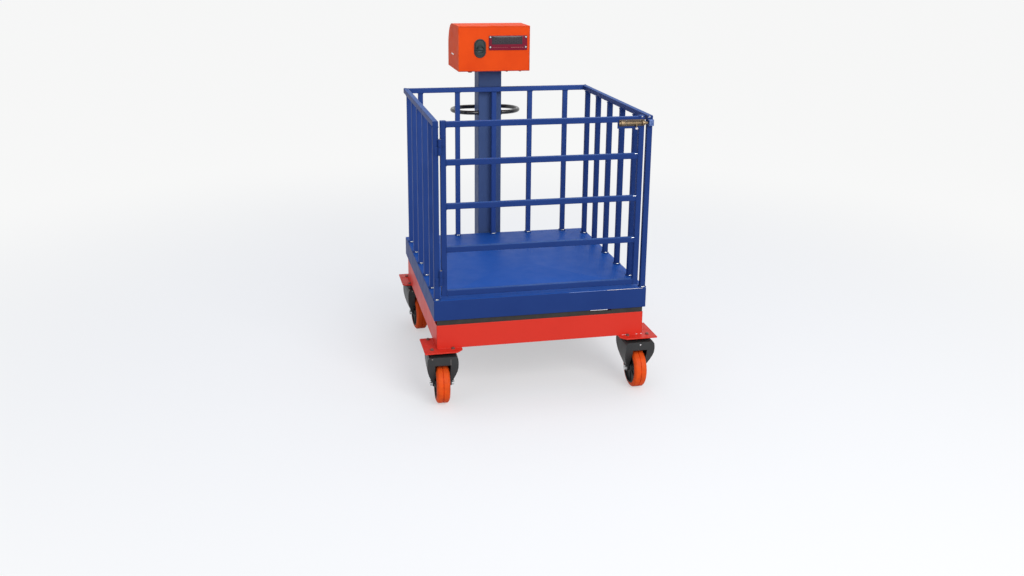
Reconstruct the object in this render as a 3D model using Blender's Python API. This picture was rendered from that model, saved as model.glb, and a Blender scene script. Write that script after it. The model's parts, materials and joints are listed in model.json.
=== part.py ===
# Livestock scale: a weighing deck with a welded cage and a gate, on a chassis with
# four swivel casters, and an indicator on a column behind the deck.
# Metres, +Z up. The gate is at -Y. The origin is on the floor, under the middle.
import math

import bmesh
import bpy
from mathutils import Matrix, Vector

# Fits and clearances
GAP = 0.0003
RUNNING = 0.0005

# Deck
DECK_W = 0.800
DECK_D = 0.850
DECK_TOP = 0.392
DECK_SHEET = 0.004
FIELD_X = 0.3725
FIELD_Y = (0.0275, 0.8225)
FIELD_RISE = 0.0006
SKIRT_H = 0.075
SKIRT_WALL = 0.003
DECK_EDGE_R = 0.003
RIB_X = 0.130
RIB_DEPTH = 0.040
RIB_T = 0.005

# Chassis
CHASSIS_INSET = 0.009
CHASSIS_FRONT = 0.004
CHASSIS_TOP = DECK_TOP - 0.095
CHASSIS_BOTTOM = DECK_TOP - 0.185
CHANNEL_FLANGE = 0.045
CHANNEL_T = 0.004
EAR_W = 0.140
EAR_D = 0.150
EAR_T = 0.0045
EAR_CUT = 0.022
EAR_NOSE = 0.010
EAR_SINK = 0.0005
FRONT_EAR_OVERHANG = 0.039
REAR_EAR_OVERHANG = 0.027
FRONT_EAR_AHEAD = 0.034
REAR_EAR_END = 0.898

# Casters
WHEEL_R = 0.075
WHEEL_W = 0.050
WHEEL_SIDES = 32
TYRE_T = 0.015
GROOVE_W = 0.003
GROOVE_DEPTH = 0.002
# The tread's shoulder: how far in from its side, and how far down from its face
TYRE_SHOULDER = ((0.000, 0.0125), (0.004, 0.0055), (0.0105, 0.000))
HUB_BORE_R = 0.0056
AXLE_R = 0.005
TRAIL = 0.042
FRONT_SWIVEL_X = 0.371
FRONT_SWIVEL_Y = 0.049
REAR_SWIVEL_X = 0.358
REAR_SWIVEL_Y = 0.810
FRONT_LEFT_TURN = math.radians(-3.0)
REAR_LEFT_TURN = math.radians(4.0)
PLATE_W = 0.110
PLATE_D = 0.120
PLATE_T = 0.005
RACE_R = 0.040
RACE_SPLIT = 0.1942
CROWN_TOP = 0.1915
FORK_T = 0.005
FORK_SLOT = 0.028
FORK_SLOT_TOP = 0.160
# The fork's half width at each height: narrow at the axle, with wide round shoulders
FORK_SHOULDER = ((0.055, 0.0335), (0.078, 0.0350), (0.092, 0.0415), (0.110, 0.0485),
                 (0.130, 0.0540), (0.150, 0.0565), (0.172, 0.0565), (0.184, 0.0550),
                 (CROWN_TOP, 0.0500))
# The side of the fork: how far it trails at each height, down its front and up its back
FORK_FRONT = ((0.0915, CROWN_TOP), (0.0925, 0.165), (0.0870, 0.145), (0.0760, 0.125),
              (0.0650, 0.105), (0.0560, 0.088))
FORK_BACK = ((0.0300, 0.070), (0.0180, 0.088), (0.0060, 0.110), (-0.0120, 0.135),
             (-0.0260, 0.160), (-0.0300, CROWN_TOP))
BOSS_R = 0.0135
NUT_R = 0.0095
NUT_T = 0.008

# Cage
TUBE = 0.020
TUBE_WALL = 0.0015
TUBE_R = 0.0025
CAGE_INSET = 0.006
POST_INSET = 0.0025
CAGE_H = 0.648
BACK_BAR_FIRST = -0.328
BACK_BAR_PITCH = 0.157
SIDE_BAR_FIRST = 0.152
SIDE_BAR_PITCH = 0.1545
BARS_A_SIDE = 5

# Gate
GATE_LEFT = -0.3708
GATE_RIGHT = 0.3668
GATE_BOTTOM = 0.015
GATE_RAIL_HEIGHTS = (0.025, 0.187, 0.3445, 0.5010, 0.6350)
HINGE_X = -0.3742
HINGE_HEIGHTS = (0.085, 0.558)
KNUCKLE_R = 0.006
KNUCKLE_H = 0.028
PIN_R = 0.003
PIN_BORE_R = 0.0035
LEAF_W = 0.018
LEAF_T = 0.003
LATCH_PLATE_X = (0.266, 0.350)
LATCH_PLATE_Z = (0.603, 0.632)
LATCH_PLATE_T = 0.004

# Latch
BOLT_Z = 0.6235
BOLT_R = 0.005
BOLT_BORE_R = 0.0056
BOLT_START = 0.268
BOLT_END = 0.3760
BOLT_STEM_X = 0.334
BOLT_THROW = 0.016
LATCH_BASE_X = (0.270, 0.3662)
LATCH_BASE_H = 0.024
LATCH_BASE_T = 0.002
GUIDES_X = ((0.275, 0.291), (0.3545, 0.3652))
GUIDE_H = 0.015
KEEPER_X = (0.3785, 0.3960)
KEEPER_HALF_Y = 0.0062
KEEPER_HALF_Z = 0.0068

# Column and handle
COLUMN = 0.100
COLUMN_WALL = 0.003
COLUMN_R = 0.006
COLUMN_X = -0.0245
COLUMN_FRONT = 0.862
BRACKET_HALF = 0.090
BRACKET_T = 0.008
GUSSET_X = 0.044
GUSSET_T = 0.006
HANDLE_X = COLUMN_X - 0.0035
HANDLE_R = 0.0088
HANDLE_HALF = 0.1533
HANDLE_BEND = 0.086
HANDLE_NEAR = 0.871
HANDLE_Z = DECK_TOP + 0.533

# Indicator
CASE_W = 0.302
CASE_FRONT = 0.7735
CASE_D = 0.266
CASE_BOTTOM = DECK_TOP + 0.7205
CASE_H = 0.186
CASE_BACK_R = 0.098
SHEET = 0.002
WINDOW_X = (0.3514, 0.5144)
WINDOW_Z = (0.8078, 0.8675)
WINDOW_T = 0.003
CUTOUT_X = (0.3620, 0.4990)
CUTOUT_Z = (0.8290, 0.8605)
BEZEL_X = 0.3145
BEZEL_Z = 0.8156
BEZEL_W = 0.050
BEZEL_H = 0.078
BEZEL_RIM = 0.0035
BEZEL_PROUD = 0.003
BEZEL_DEPTH = 0.010
KEY_SPLIT = 0.8085
KEY_GAP = 0.0012
KEY_PROUD = 0.0015
KEY_DEPTH = 0.012
KEY_TRAVEL = 0.002
GLAND_X = 0.285
GLAND_Y = 0.842
GLAND_R = 0.008

# Load cells
CELL_W = 0.034
CELL_H = 0.032
CELL_L = 0.130
CELL_X = 0.3665
CELL_SPACER_H = 0.018
CELL_STUD_R = 0.009
CELL_FRONT_Y = 0.062
CELL_REAR_Y = 0.656

# Where the deck's front edge stands: the wheels reach ahead of it and the handle behind it,
# and the middle of that whole length is the origin.
TREAD_EDGE = WHEEL_W / 2 - TYRE_SHOULDER[2][0]
WHEEL_REACH = ((WHEEL_R + TRAIL) * math.cos(FRONT_LEFT_TURN)
               + TREAD_EDGE * abs(math.sin(FRONT_LEFT_TURN)) - FRONT_SWIVEL_Y)
HANDLE_REACH = HANDLE_NEAR + 2 * HANDLE_BEND + HANDLE_R
DECK_FRONT = -(HANDLE_REACH - WHEEL_REACH) / 2


# Places are given from the deck's front left corner, as on the drawing
def from_left(x):
    return x - DECK_W / 2


def from_front(y):
    return DECK_FRONT + y


def above_deck(z):
    return DECK_TOP + z


# Paints and materials
def material(name, colour, metallic, roughness):
    made = bpy.data.materials.new(name)
    made.use_nodes = True
    shader = made.node_tree.nodes["Principled BSDF"]
    shader.inputs["Base Color"].default_value = (*colour, 1.0)
    shader.inputs["Metallic"].default_value = metallic
    shader.inputs["Roughness"].default_value = roughness
    made.diffuse_color = (*colour, 1.0)
    return made


def make_materials():
    return {
        "blue": material("blue enamel", (0.023, 0.068, 0.296), 0.0, 0.35),
        "red": material("red enamel", (0.680, 0.036, 0.022), 0.0, 0.38),
        "orange": material("orange enamel", (0.880, 0.090, 0.014), 0.0, 0.40),
        "black": material("black pressed steel", (0.020, 0.020, 0.020), 0.3, 0.45),
        "black paint": material("black enamel", (0.012, 0.012, 0.015), 0.0, 0.25),
        "hub": material("black nylon", (0.018, 0.018, 0.018), 0.0, 0.55),
        "tread": material("orange polyurethane", (0.830, 0.120, 0.020), 0.0, 0.45),
        "brass": material("brass plated steel", (0.450, 0.260, 0.090), 0.9, 0.38),
        "window": material("dark red acrylic", (0.120, 0.008, 0.012), 0.0, 0.08),
        "board": material("circuit board", (0.010, 0.120, 0.040), 0.0, 0.50),
        "plastic": material("black abs", (0.022, 0.024, 0.024), 0.0, 0.40),
        "key": material("dark grey rubber", (0.045, 0.048, 0.050), 0.0, 0.60),
        "cell": material("nickel plated steel", (0.560, 0.560, 0.540), 0.9, 0.30),
        "battery": material("grey battery case", (0.100, 0.100, 0.110), 0.0, 0.50),
    }


# Mesh tools
def finish(name, bm, paint, smooth=False):
    bmesh.ops.recalc_face_normals(bm, faces=bm.faces)
    mesh = bpy.data.meshes.new(name)
    bm.to_mesh(mesh)
    bm.free()
    mesh.materials.append(paint)
    if smooth:
        mesh.shade_smooth()
        mesh.set_sharp_from_angle(angle=math.radians(35))
    made = bpy.data.objects.new(name, mesh)
    bpy.context.collection.objects.link(made)
    return made


def add_block(bm, low, high):
    size = [b - a for a, b in zip(low, high)]
    middle = [(a + b) / 2 for a, b in zip(low, high)]
    place = Matrix.Translation(middle) @ Matrix.Diagonal((*size, 1.0))
    return bmesh.ops.create_cube(bm, size=1.0, matrix=place)["verts"]


def block(name, low, high, paint):
    bm = bmesh.new()
    add_block(bm, low, high)
    return finish(name, bm, paint)


def frame_on(axis):
    # Columns: the outline's first direction, its second, and the direction of extrusion
    if axis == "x":
        return Matrix(((0, 0, 1), (1, 0, 0), (0, 1, 0)))
    if axis == "y":
        return Matrix(((1, 0, 0), (0, 0, 1), (0, 1, 0)))
    return Matrix(((1, 0, 0), (0, 1, 0), (0, 0, 1)))


def add_prism(bm, outline, axis, start, end):
    turn = frame_on(axis)
    first = [bm.verts.new(turn @ Vector((a, b, start))) for a, b in outline]
    face = bm.faces.new(first)
    grown = bmesh.ops.extrude_face_region(bm, geom=[face])["geom"]
    moved = [item for item in grown if isinstance(item, bmesh.types.BMVert)]
    bmesh.ops.translate(bm, verts=moved, vec=turn @ Vector((0, 0, end - start)))


def prism(name, outline, axis, start, end, paint, smooth=False):
    bm = bmesh.new()
    add_prism(bm, outline, axis, start, end)
    return finish(name, bm, paint, smooth)


def circle_points(radius, sides, centre=(0.0, 0.0), first=0.0):
    step = 2 * math.pi / sides
    angles = [first + step * i for i in range(sides)]
    return [(centre[0] + radius * math.cos(a), centre[1] + radius * math.sin(a)) for a in angles]


def cylinder(name, axis, centre, radius, start, end, paint, sides=16):
    # The sides' flats stand at the radius, so a pin and its bore keep their clearance
    corner = radius / math.cos(math.pi / sides)
    outline = circle_points(corner, sides, centre, math.pi / sides)
    return prism(name, outline, axis, start, end, paint, smooth=True)


def rounded_square(width, height, radius, steps):
    points = []
    corners = ((1, 1, 0), (-1, 1, 90), (-1, -1, 180), (1, -1, 270))
    for sx, sy, turn in corners:
        cx = sx * (width / 2 - radius)
        cy = sy * (height / 2 - radius)
        for i in range(steps + 1):
            angle = math.radians(turn + 90 * i / steps)
            points.append((cx + radius * math.cos(angle), cy + radius * math.sin(angle)))
    return points


def hollow_section(name, place, length, outer, inner, cuts, paint, closed=0.0):
    # A tube along its own +Z; cuts are the mitres at its two ends: how far the end
    # moves back for each unit of the section's first direction. closed is the
    # thickness of an end wall at the start, or nothing for an open end.
    bm = bmesh.new()
    rings = []
    for outline, wall in ((outer, 0.0), (inner, closed)):
        for base, slope in ((wall, cuts[0]), (length, cuts[1])):
            rings.append([bm.verts.new((a, b, base + slope * a)) for a, b in outline])
    out_low, out_high, in_low, in_high = rings
    count = len(outer)
    for i in range(count):
        j = (i + 1) % count
        bm.faces.new((out_low[i], out_low[j], out_high[j], out_high[i]))
        bm.faces.new((in_low[j], in_low[i], in_high[i], in_high[j]))
        bm.faces.new((out_high[i], out_high[j], in_high[j], in_high[i]))
        if not closed:
            bm.faces.new((out_low[j], out_low[i], in_low[i], in_low[j]))
    if closed:
        bm.faces.new(out_low[::-1])
        bm.faces.new(in_low)
    bmesh.ops.transform(bm, matrix=place, verts=bm.verts)
    return finish(name, bm, paint)


def square_tube(name, start, end, paint, first=Vector((1, 0, 0)), cuts=(0.0, 0.0), closed=0.0):
    # first is the direction of the section that the mitres run along
    start = Vector(start)
    along = Vector(end) - start
    length = along.length
    axis = along.normalized()
    second = axis.cross(first)
    turn = Matrix((first, second, axis)).transposed().to_4x4()
    inner = TUBE - 2 * TUBE_WALL
    return hollow_section(
        name,
        Matrix.Translation(start) @ turn,
        length,
        rounded_square(TUBE, TUBE, TUBE_R, 1),
        rounded_square(inner, inner, TUBE_R - TUBE_WALL, 1),
        cuts,
        paint,
        closed,
    )


def boolean(target, others, operation):
    for other in others:
        step = target.modifiers.new(operation.lower(), "BOOLEAN")
        step.operation = operation
        step.solver = "EXACT"
        step.object = other
    bpy.context.view_layer.update()
    graph = bpy.context.evaluated_depsgraph_get()
    result = bpy.data.meshes.new_from_object(target.evaluated_get(graph))
    spent = target.data
    target.modifiers.clear()
    target.data = result
    result.name = target.name
    bpy.data.meshes.remove(spent)
    for other in others:
        mesh = other.data
        bpy.data.objects.remove(other)
        bpy.data.meshes.remove(mesh)
    return target


def join(target, *others):
    return boolean(target, others, "UNION")


def cut(target, *others):
    return boolean(target, others, "DIFFERENCE")


def tidy_faces(target):
    bm = bmesh.new()
    bm.from_mesh(target.data)
    bmesh.ops.dissolve_limit(bm, angle_limit=math.radians(0.5), verts=bm.verts, edges=bm.edges)
    bmesh.ops.triangulate(bm, faces=bm.faces)
    bm.to_mesh(target.data)
    bm.free()
    return target


# Chassis
def channel_profile():
    # Depth from the web's outer face, and height
    top = CHASSIS_TOP
    bottom = CHASSIS_BOTTOM
    t = CHANNEL_T
    f = CHANNEL_FLANGE
    return [(0, bottom), (f, bottom), (f, bottom + t), (t, bottom + t),
            (t, top - t), (f, top - t), (f, top), (0, top)]


def channel(name, start, end, inward, paint):
    # A folded channel from corner to corner, with its open side inward and its ends mitred
    start = Vector(start)
    end = Vector(end)
    along = (end - start).normalized()
    inward = Vector(inward)
    clear = GAP
    bm = bmesh.new()
    rings = []
    for corner, direction in ((start, along), (end, -along)):
        ring = []
        for depth, height in channel_profile():
            point = corner + inward * depth + direction * (depth + clear)
            ring.append(bm.verts.new((point.x, point.y, height)))
        rings.append(ring)
    count = len(rings[0])
    for i in range(count):
        j = (i + 1) % count
        bm.faces.new((rings[0][i], rings[0][j], rings[1][j], rings[1][i]))
    bm.faces.new(rings[0][::-1])
    bm.faces.new(rings[1])
    return finish(name, bm, paint)


def ear_outline(side, outer, y_low, y_high, cut_front):
    # The corner that faces inward, under the chassis beam, is cut off
    inner = outer - side * EAR_W
    if cut_front:
        return [(outer, y_low), (outer, y_high), (inner, y_high),
                (inner, y_low + EAR_CUT), (inner + side * EAR_CUT, y_low)]
    return [(outer - side * EAR_NOSE, y_low), (outer, y_low + EAR_NOSE), (outer, y_high),
            (inner + side * EAR_CUT, y_high), (inner, y_high - EAR_CUT), (inner, y_low)]


def make_chassis(paints):
    x = DECK_W / 2 - CHASSIS_INSET
    front = from_front(CHASSIS_FRONT)
    rear = from_front(DECK_D - CHASSIS_FRONT)
    red = paints["red"]
    channel("chassis_front_channel", (-x, front, 0), (x, front, 0), (0, 1, 0), red)
    channel("chassis_rear_channel", (-x, rear, 0), (x, rear, 0), (0, -1, 0), red)
    ear_top = CHASSIS_BOTTOM + EAR_SINK
    ear_bottom = CHASSIS_BOTTOM - EAR_T
    for side, word in ((-1, "left"), (1, "right")):
        rail = channel(f"chassis_{word}_rail", (side * x, front, 0), (side * x, rear, 0),
                       (-side, 0, 0), red)
        front_y = from_front(-FRONT_EAR_AHEAD)
        rear_y = from_front(REAR_EAR_END)
        front_ear = prism("front_ear",
                          ear_outline(side, side * (DECK_W / 2 + FRONT_EAR_OVERHANG),
                                      front_y, front_y + EAR_D, True),
                          "z", ear_bottom, ear_top, red)
        rear_ear = prism("rear_ear",
                         ear_outline(side, side * (DECK_W / 2 + REAR_EAR_OVERHANG),
                                     rear_y - EAR_D, rear_y, False),
                         "z", ear_bottom, ear_top, red)
        # The ears lie under the front and rear beams too, which keep their own clearance
        for ear, low, high in ((front_ear, front, front + CHANNEL_FLANGE),
                               (rear_ear, rear - CHANNEL_FLANGE, rear)):
            reach = x + CHANNEL_FLANGE
            relief = block("relief", (-reach, low - GAP, CHASSIS_BOTTOM - GAP),
                           (reach, high + GAP, CHASSIS_BOTTOM + EAR_T), red)
            cut(ear, relief)
        join(rail, front_ear, rear_ear)
        tidy_faces(rail)


# Load cells
def make_load_cells(paints):
    base = CHASSIS_TOP + GAP
    beam_low = base + CELL_SPACER_H
    beam_high = beam_low + CELL_H
    deck_under = DECK_TOP - DECK_SHEET - GAP
    for side, side_word in ((-1, "left"), (1, "right")):
        for start, word in ((CELL_FRONT_Y, "front"), (CELL_REAR_Y, "rear")):
            x = side * CELL_X
            # The bolted end is towards the middle of the scale, the loaded end at the corner
            y0 = from_front(start)
            y1 = y0 + CELL_L
            bolted = (y1 - 0.055, y1) if word == "front" else (y0, y0 + 0.055)
            stud_y = y0 + 0.018 if word == "front" else y1 - 0.018
            half = CELL_W / 2
            name = f"load_cell_{word}_{side_word}"
            beam = block(name, (x - half, y0, beam_low), (x + half, y1, beam_high),
                         paints["cell"])
            spacer = block("spacer", (x - half + 0.002, bolted[0] + 0.002, base),
                           (x + half - 0.002, bolted[1] - 0.002, beam_low + 0.002),
                           paints["cell"])
            stud = cylinder("stud", "z", (x, stud_y), CELL_STUD_R, beam_high - 0.002,
                            deck_under, paints["cell"])
            join(beam, spacer, stud)


# Deck
def make_deck(paints):
    blue = paints["blue"]
    low = (-DECK_W / 2, from_front(0), DECK_TOP - SKIRT_H)
    high = (DECK_W / 2, from_front(DECK_D), DECK_TOP)
    bm = bmesh.new()
    add_block(bm, low, high)
    folded = [edge for edge in bm.edges if any(vert.co.z > low[2] + 0.001 for vert in edge.verts)]
    bmesh.ops.bevel(bm, geom=folded, offset=DECK_EDGE_R, segments=2, profile=0.5,
                    affect="EDGES", clamp_overlap=True)
    deck = finish("deck_pan", bm, blue)
    hollow = block("hollow",
                   (low[0] + SKIRT_WALL, low[1] + SKIRT_WALL, low[2] - 0.010),
                   (high[0] - SKIRT_WALL, high[1] - SKIRT_WALL, high[2] - DECK_SHEET), blue)
    cut(deck, hollow)
    # The cover sheet inside the bars stands a little proud of the edge that carries them
    field = block("field", (-FIELD_X, from_front(FIELD_Y[0]), DECK_TOP - 0.001),
                  (FIELD_X, from_front(FIELD_Y[1]), DECK_TOP + FIELD_RISE), blue)
    under = DECK_TOP - DECK_SHEET
    ribs = []
    for side in (-1, 1):
        x = side * RIB_X
        ribs.append(block("rib", (x - RIB_T / 2, low[1] + 0.001, under - RIB_DEPTH),
                          (x + RIB_T / 2, high[1] - 0.001, under + 0.001), blue))
    join(deck, field, *ribs)
    return tidy_faces(deck)


# Cage
def make_cage(paints):
    blue = paints["blue"]
    x = DECK_W / 2 - POST_INSET - TUBE / 2
    side_x = DECK_W / 2 - CAGE_INSET - TUBE / 2
    front = from_front(CAGE_INSET + TUBE / 2)
    back = from_front(DECK_D - CAGE_INSET - TUBE / 2)
    rail_z = above_deck(CAGE_H - TUBE / 2)
    foot = DECK_TOP + GAP
    head = rail_z - TUBE / 2 - GAP
    half = TUBE / 2
    # Each rail's cut end stands half a tube past its centre line on the outer side
    square_tube("cage_back_rail", (-x + GAP, back, rail_z), (x - GAP, back, rail_z), blue,
                first=Vector((0, 1, 0)), cuts=(-1.0, 1.0))
    for side, word in ((-1, "left"), (1, "right")):
        square_tube(f"cage_{word}_rail", (side * x, front - half, rail_z),
                    (side * x, back - GAP, rail_z), blue,
                    first=Vector((side, 0, 0)), cuts=(0.0, 1.0), closed=TUBE_WALL)
        for i in range(BARS_A_SIDE):
            y = from_front(SIDE_BAR_FIRST + SIDE_BAR_PITCH * i)
            square_tube(f"{word}_bar_{i + 1}", (side * side_x, y, foot), (side * side_x, y, head), blue)
    for i in range(BARS_A_SIDE):
        bar_x = BACK_BAR_FIRST + BACK_BAR_PITCH * i
        square_tube(f"back_bar_{i + 1}", (bar_x, back, foot), (bar_x, back, head), blue)
    hinge_post = square_tube("gate_hinge_post", (-x, front, foot), (-x, front, head), blue)
    latch_post = square_tube("gate_latch_post", (x, front, foot), (x, front, head), blue)
    return hinge_post, latch_post


# Hinges: the post carries the lower knuckle and the pin, the gate the upper knuckle
def hinge_y():
    return from_front(CAGE_INSET) - KNUCKLE_R - GAP


def add_post_hinges(post, paints):
    blue = paints["blue"]
    face = from_front(CAGE_INSET)
    for height in HINGE_HEIGHTS:
        z = above_deck(height)
        knuckle = cylinder("knuckle", "z", (HINGE_X, hinge_y()), KNUCKLE_R, z - KNUCKLE_H, z,
                           blue, sides=12)
        pin = cylinder("pin", "z", (HINGE_X, hinge_y()), PIN_R, z - 0.004,
                       z + RUNNING + KNUCKLE_H, blue, sides=12)
        leaf = block("leaf", (HINGE_X - LEAF_W, face - LEAF_T, z - KNUCKLE_H + 0.001),
                     (HINGE_X - 0.001, face + 0.0008, z - 0.001), blue)
        join(post, leaf, knuckle, pin)
    return tidy_faces(post)


def gate_hinge_pieces(paints):
    blue = paints["blue"]
    face = from_front(CAGE_INSET)
    pieces = []
    bores = []
    for height in HINGE_HEIGHTS:
        z = above_deck(height) + RUNNING
        pieces.append(cylinder("knuckle", "z", (HINGE_X, hinge_y()), KNUCKLE_R, z,
                               z + KNUCKLE_H, blue, sides=12))
        pieces.append(block("leaf", (HINGE_X + 0.001, face - LEAF_T, z + 0.001),
                            (HINGE_X + LEAF_W, face + 0.0008, z + KNUCKLE_H - 0.001), blue))
        bores.append(cylinder("bore", "z", (HINGE_X, hinge_y()), PIN_BORE_R, z - 0.002,
                              z + KNUCKLE_H + 0.002, blue, sides=12))
    return pieces, bores


# Gate: stiles and rails are one welded frame of hollow tube
def make_gate(paints):
    blue = paints["blue"]
    face = from_front(CAGE_INSET)
    y = face + TUBE / 2
    bottom = above_deck(GATE_BOTTOM)
    top = above_deck(CAGE_H)
    inner = TUBE - 2 * TUBE_WALL
    outer_outline = rounded_square(TUBE, TUBE, TUBE_R, 1)
    inner_outline = rounded_square(inner, inner, TUBE_R - TUBE_WALL, 1)

    def shifted(outline, a, b):
        return [(p + a, q + b) for p, q in outline]

    def stile(name, x):
        return prism(name, shifted(outer_outline, x, y), "z", bottom, top, blue)

    left_x = GATE_LEFT + TUBE / 2
    right_x = GATE_RIGHT - TUBE / 2
    gate = stile("gate_frame", left_x)
    rails = [stile("stile", right_x)]
    bores = []
    for height in GATE_RAIL_HEIGHTS:
        z = above_deck(height)
        rails.append(prism("rail", shifted(outer_outline, y, z), "x",
                           left_x + TUBE / 4, right_x - TUBE / 4, blue))
        bores.append(prism("rail_bore", shifted(inner_outline, y, z), "x", left_x, right_x, blue))
    for x in (left_x, right_x):
        bores.append(prism("stile_bore", shifted(inner_outline, x, y), "z",
                           bottom + TUBE_WALL, top - TUBE_WALL, blue))
        # A drain hole in each stile's closed foot
        bores.append(cylinder("drain", "z", (x, y), 0.003, bottom - 0.005,
                              bottom + TUBE_WALL + 0.005, blue, sides=8))
    latch_plate = block("latch_plate",
                        (LATCH_PLATE_X[0], face + GAP, above_deck(LATCH_PLATE_Z[0])),
                        (LATCH_PLATE_X[1], face + LATCH_PLATE_T, above_deck(LATCH_PLATE_Z[1])),
                        blue)
    knuckles, pin_bores = gate_hinge_pieces(paints)
    join(gate, *rails)
    cut(gate, *bores)
    join(gate, latch_plate, *knuckles)
    cut(gate, *pin_bores)
    return tidy_faces(gate)


# Latch: a barrel bolt on the gate and a keeper on the post
def bolt_y():
    return from_front(CAGE_INSET) - GAP - LATCH_BASE_T - BOLT_BORE_R - 0.0010


def make_latch(paints):
    brass = paints["brass"]
    face = from_front(CAGE_INSET) - GAP
    z = above_deck(BOLT_Z)
    base = block("latch_body",
                 (LATCH_BASE_X[0], face - LATCH_BASE_T, z - LATCH_BASE_H / 2),
                 (LATCH_BASE_X[1], face, z + LATCH_BASE_H / 2), brass)
    guides = []
    for low, high in GUIDES_X:
        guides.append(block("guide", (low, bolt_y() - GUIDE_H / 2, z - GUIDE_H / 2),
                            (high, face - LATCH_BASE_T + 0.0008, z + GUIDE_H / 2), brass))
    bore = cylinder("bore", "x", (bolt_y(), z), BOLT_BORE_R, GUIDES_X[0][0] - 0.01,
                    GUIDES_X[1][1] + 0.01, brass)
    join(base, *guides)
    cut(base, bore)
    tidy_faces(base)
    bolt = cylinder("latch_bolt", "x", (bolt_y(), z), BOLT_R, BOLT_START, BOLT_END, brass)
    stem = cylinder("stem", "z", (BOLT_STEM_X, bolt_y()), 0.003, z - 0.016, z, brass, sides=10)
    knob = cylinder("knob", "z", (BOLT_STEM_X, bolt_y()), 0.0055, z - 0.024, z - 0.015, brass,
                    sides=12)
    join(bolt, stem, knob)
    keeper = block("latch_keeper",
                   (KEEPER_X[0], bolt_y() - GUIDE_H / 2, z - LATCH_BASE_H / 2),
                   (KEEPER_X[1], face, z + LATCH_BASE_H / 2), paints["blue"])
    socket = block("socket",
                   (KEEPER_X[0] - 0.01, bolt_y() - KEEPER_HALF_Y, z - KEEPER_HALF_Z),
                   (KEEPER_X[1] + 0.01, bolt_y() + KEEPER_HALF_Y, z + KEEPER_HALF_Z),
                   paints["blue"])
    cut(keeper, socket)


# Column with the bracket that carries it on the rear beam
def make_column(paints):
    blue = paints["blue"]
    y = from_front(COLUMN_FRONT + COLUMN / 2)
    foot = CHASSIS_BOTTOM
    head = CASE_BOTTOM - GAP
    inner = COLUMN - 2 * COLUMN_WALL
    outer_outline = rounded_square(COLUMN, COLUMN, COLUMN_R, 3)
    inner_outline = rounded_square(inner, inner, COLUMN_R - COLUMN_WALL, 3)
    column = hollow_section("column", Matrix.Translation((COLUMN_X, y, foot)), head - foot,
                            outer_outline, inner_outline, (0.0, 0.0), blue)
    beam = from_front(DECK_D - CHASSIS_FRONT) + GAP
    tube_face = from_front(COLUMN_FRONT)
    plate = block("bracket_plate", (COLUMN_X - BRACKET_HALF, beam, CHASSIS_BOTTOM + 0.002),
                  (COLUMN_X + BRACKET_HALF, beam + BRACKET_T, CHASSIS_TOP - 0.002), blue)
    spacers = []
    for side in (-1, 1):
        gx = COLUMN_X + side * (GUSSET_X - 0.012)
        spacers.append(block("spacer", (gx - GUSSET_T / 2, beam + BRACKET_T - 0.001,
                                        CHASSIS_BOTTOM + 0.010),
                             (gx + GUSSET_T / 2, tube_face + 0.001, CHASSIS_TOP - 0.010), blue))
        web = [(COLUMN_X + side * (COLUMN / 2 - 0.001), beam + BRACKET_T - 0.001),
               (COLUMN_X + side * (BRACKET_HALF - 0.006), beam + BRACKET_T - 0.001),
               (COLUMN_X + side * (COLUMN / 2 - 0.001), tube_face + 0.040)]
        spacers.append(prism("gusset", web, "z", 0.252, 0.258, blue))
    join(column, plate, *spacers)
    return tidy_faces(column)


# Push handle: one round bar bent from the column's left face round behind it to the right
def make_handle(paints):
    cx = HANDLE_X
    near = from_front(HANDLE_NEAR)
    middle = near + HANDLE_BEND
    straight = HANDLE_HALF - HANDLE_R - HANDLE_BEND
    reach = COLUMN / 2 + GAP
    bend_steps = 12
    points = [Vector((COLUMN_X - reach, near, HANDLE_Z))]
    for i in range(bend_steps + 1):
        angle = math.radians(-90 - 180 * i / bend_steps)
        points.append(Vector((cx - straight + HANDLE_BEND * math.cos(angle),
                              middle + HANDLE_BEND * math.sin(angle), HANDLE_Z)))
    for i in range(bend_steps + 1):
        angle = math.radians(90 - 180 * i / bend_steps)
        points.append(Vector((cx + straight + HANDLE_BEND * math.cos(angle),
                              middle + HANDLE_BEND * math.sin(angle), HANDLE_Z)))
    points.append(Vector((COLUMN_X + reach, near, HANDLE_Z)))
    curve = bpy.data.curves.new("push_handle", "CURVE")
    curve.dimensions = "3D"
    curve.bevel_depth = HANDLE_R
    curve.bevel_resolution = 2
    curve.use_fill_caps = True
    spline = curve.splines.new("POLY")
    spline.points.add(len(points) - 1)
    for point, place in zip(spline.points, points):
        point.co = (*place, 1.0)
    curve.materials.append(paints["black paint"])
    made = bpy.data.objects.new("push_handle", curve)
    bpy.context.collection.objects.link(made)
    return made


# Indicator case: a wrap of sheet, rounded at the back of its top, with its left end closed
def case_outline(offset):
    front = from_front(CASE_FRONT) + offset
    back = from_front(CASE_FRONT + CASE_D) - offset
    bottom = CASE_BOTTOM + offset
    top = CASE_BOTTOM + CASE_H - offset
    radius = CASE_BACK_R - offset
    points = [(front, bottom), (front, top)]
    steps = 10
    for i in range(steps + 1):
        angle = math.radians(90 - 90 * i / steps)
        points.append((back - radius + radius * math.cos(angle),
                       top - radius + radius * math.sin(angle)))
    points.append((back, bottom))
    return points


def obround(width, height, centre, steps=10):
    radius = width / 2
    rise = height / 2 - radius
    points = []
    for turn, lift in ((0, rise), (180, -rise)):
        for i in range(steps + 1):
            angle = math.radians(turn + 180 * i / steps)
            points.append((centre[0] + radius * math.cos(angle),
                           centre[1] + lift + radius * math.sin(angle)))
    return points


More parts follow.
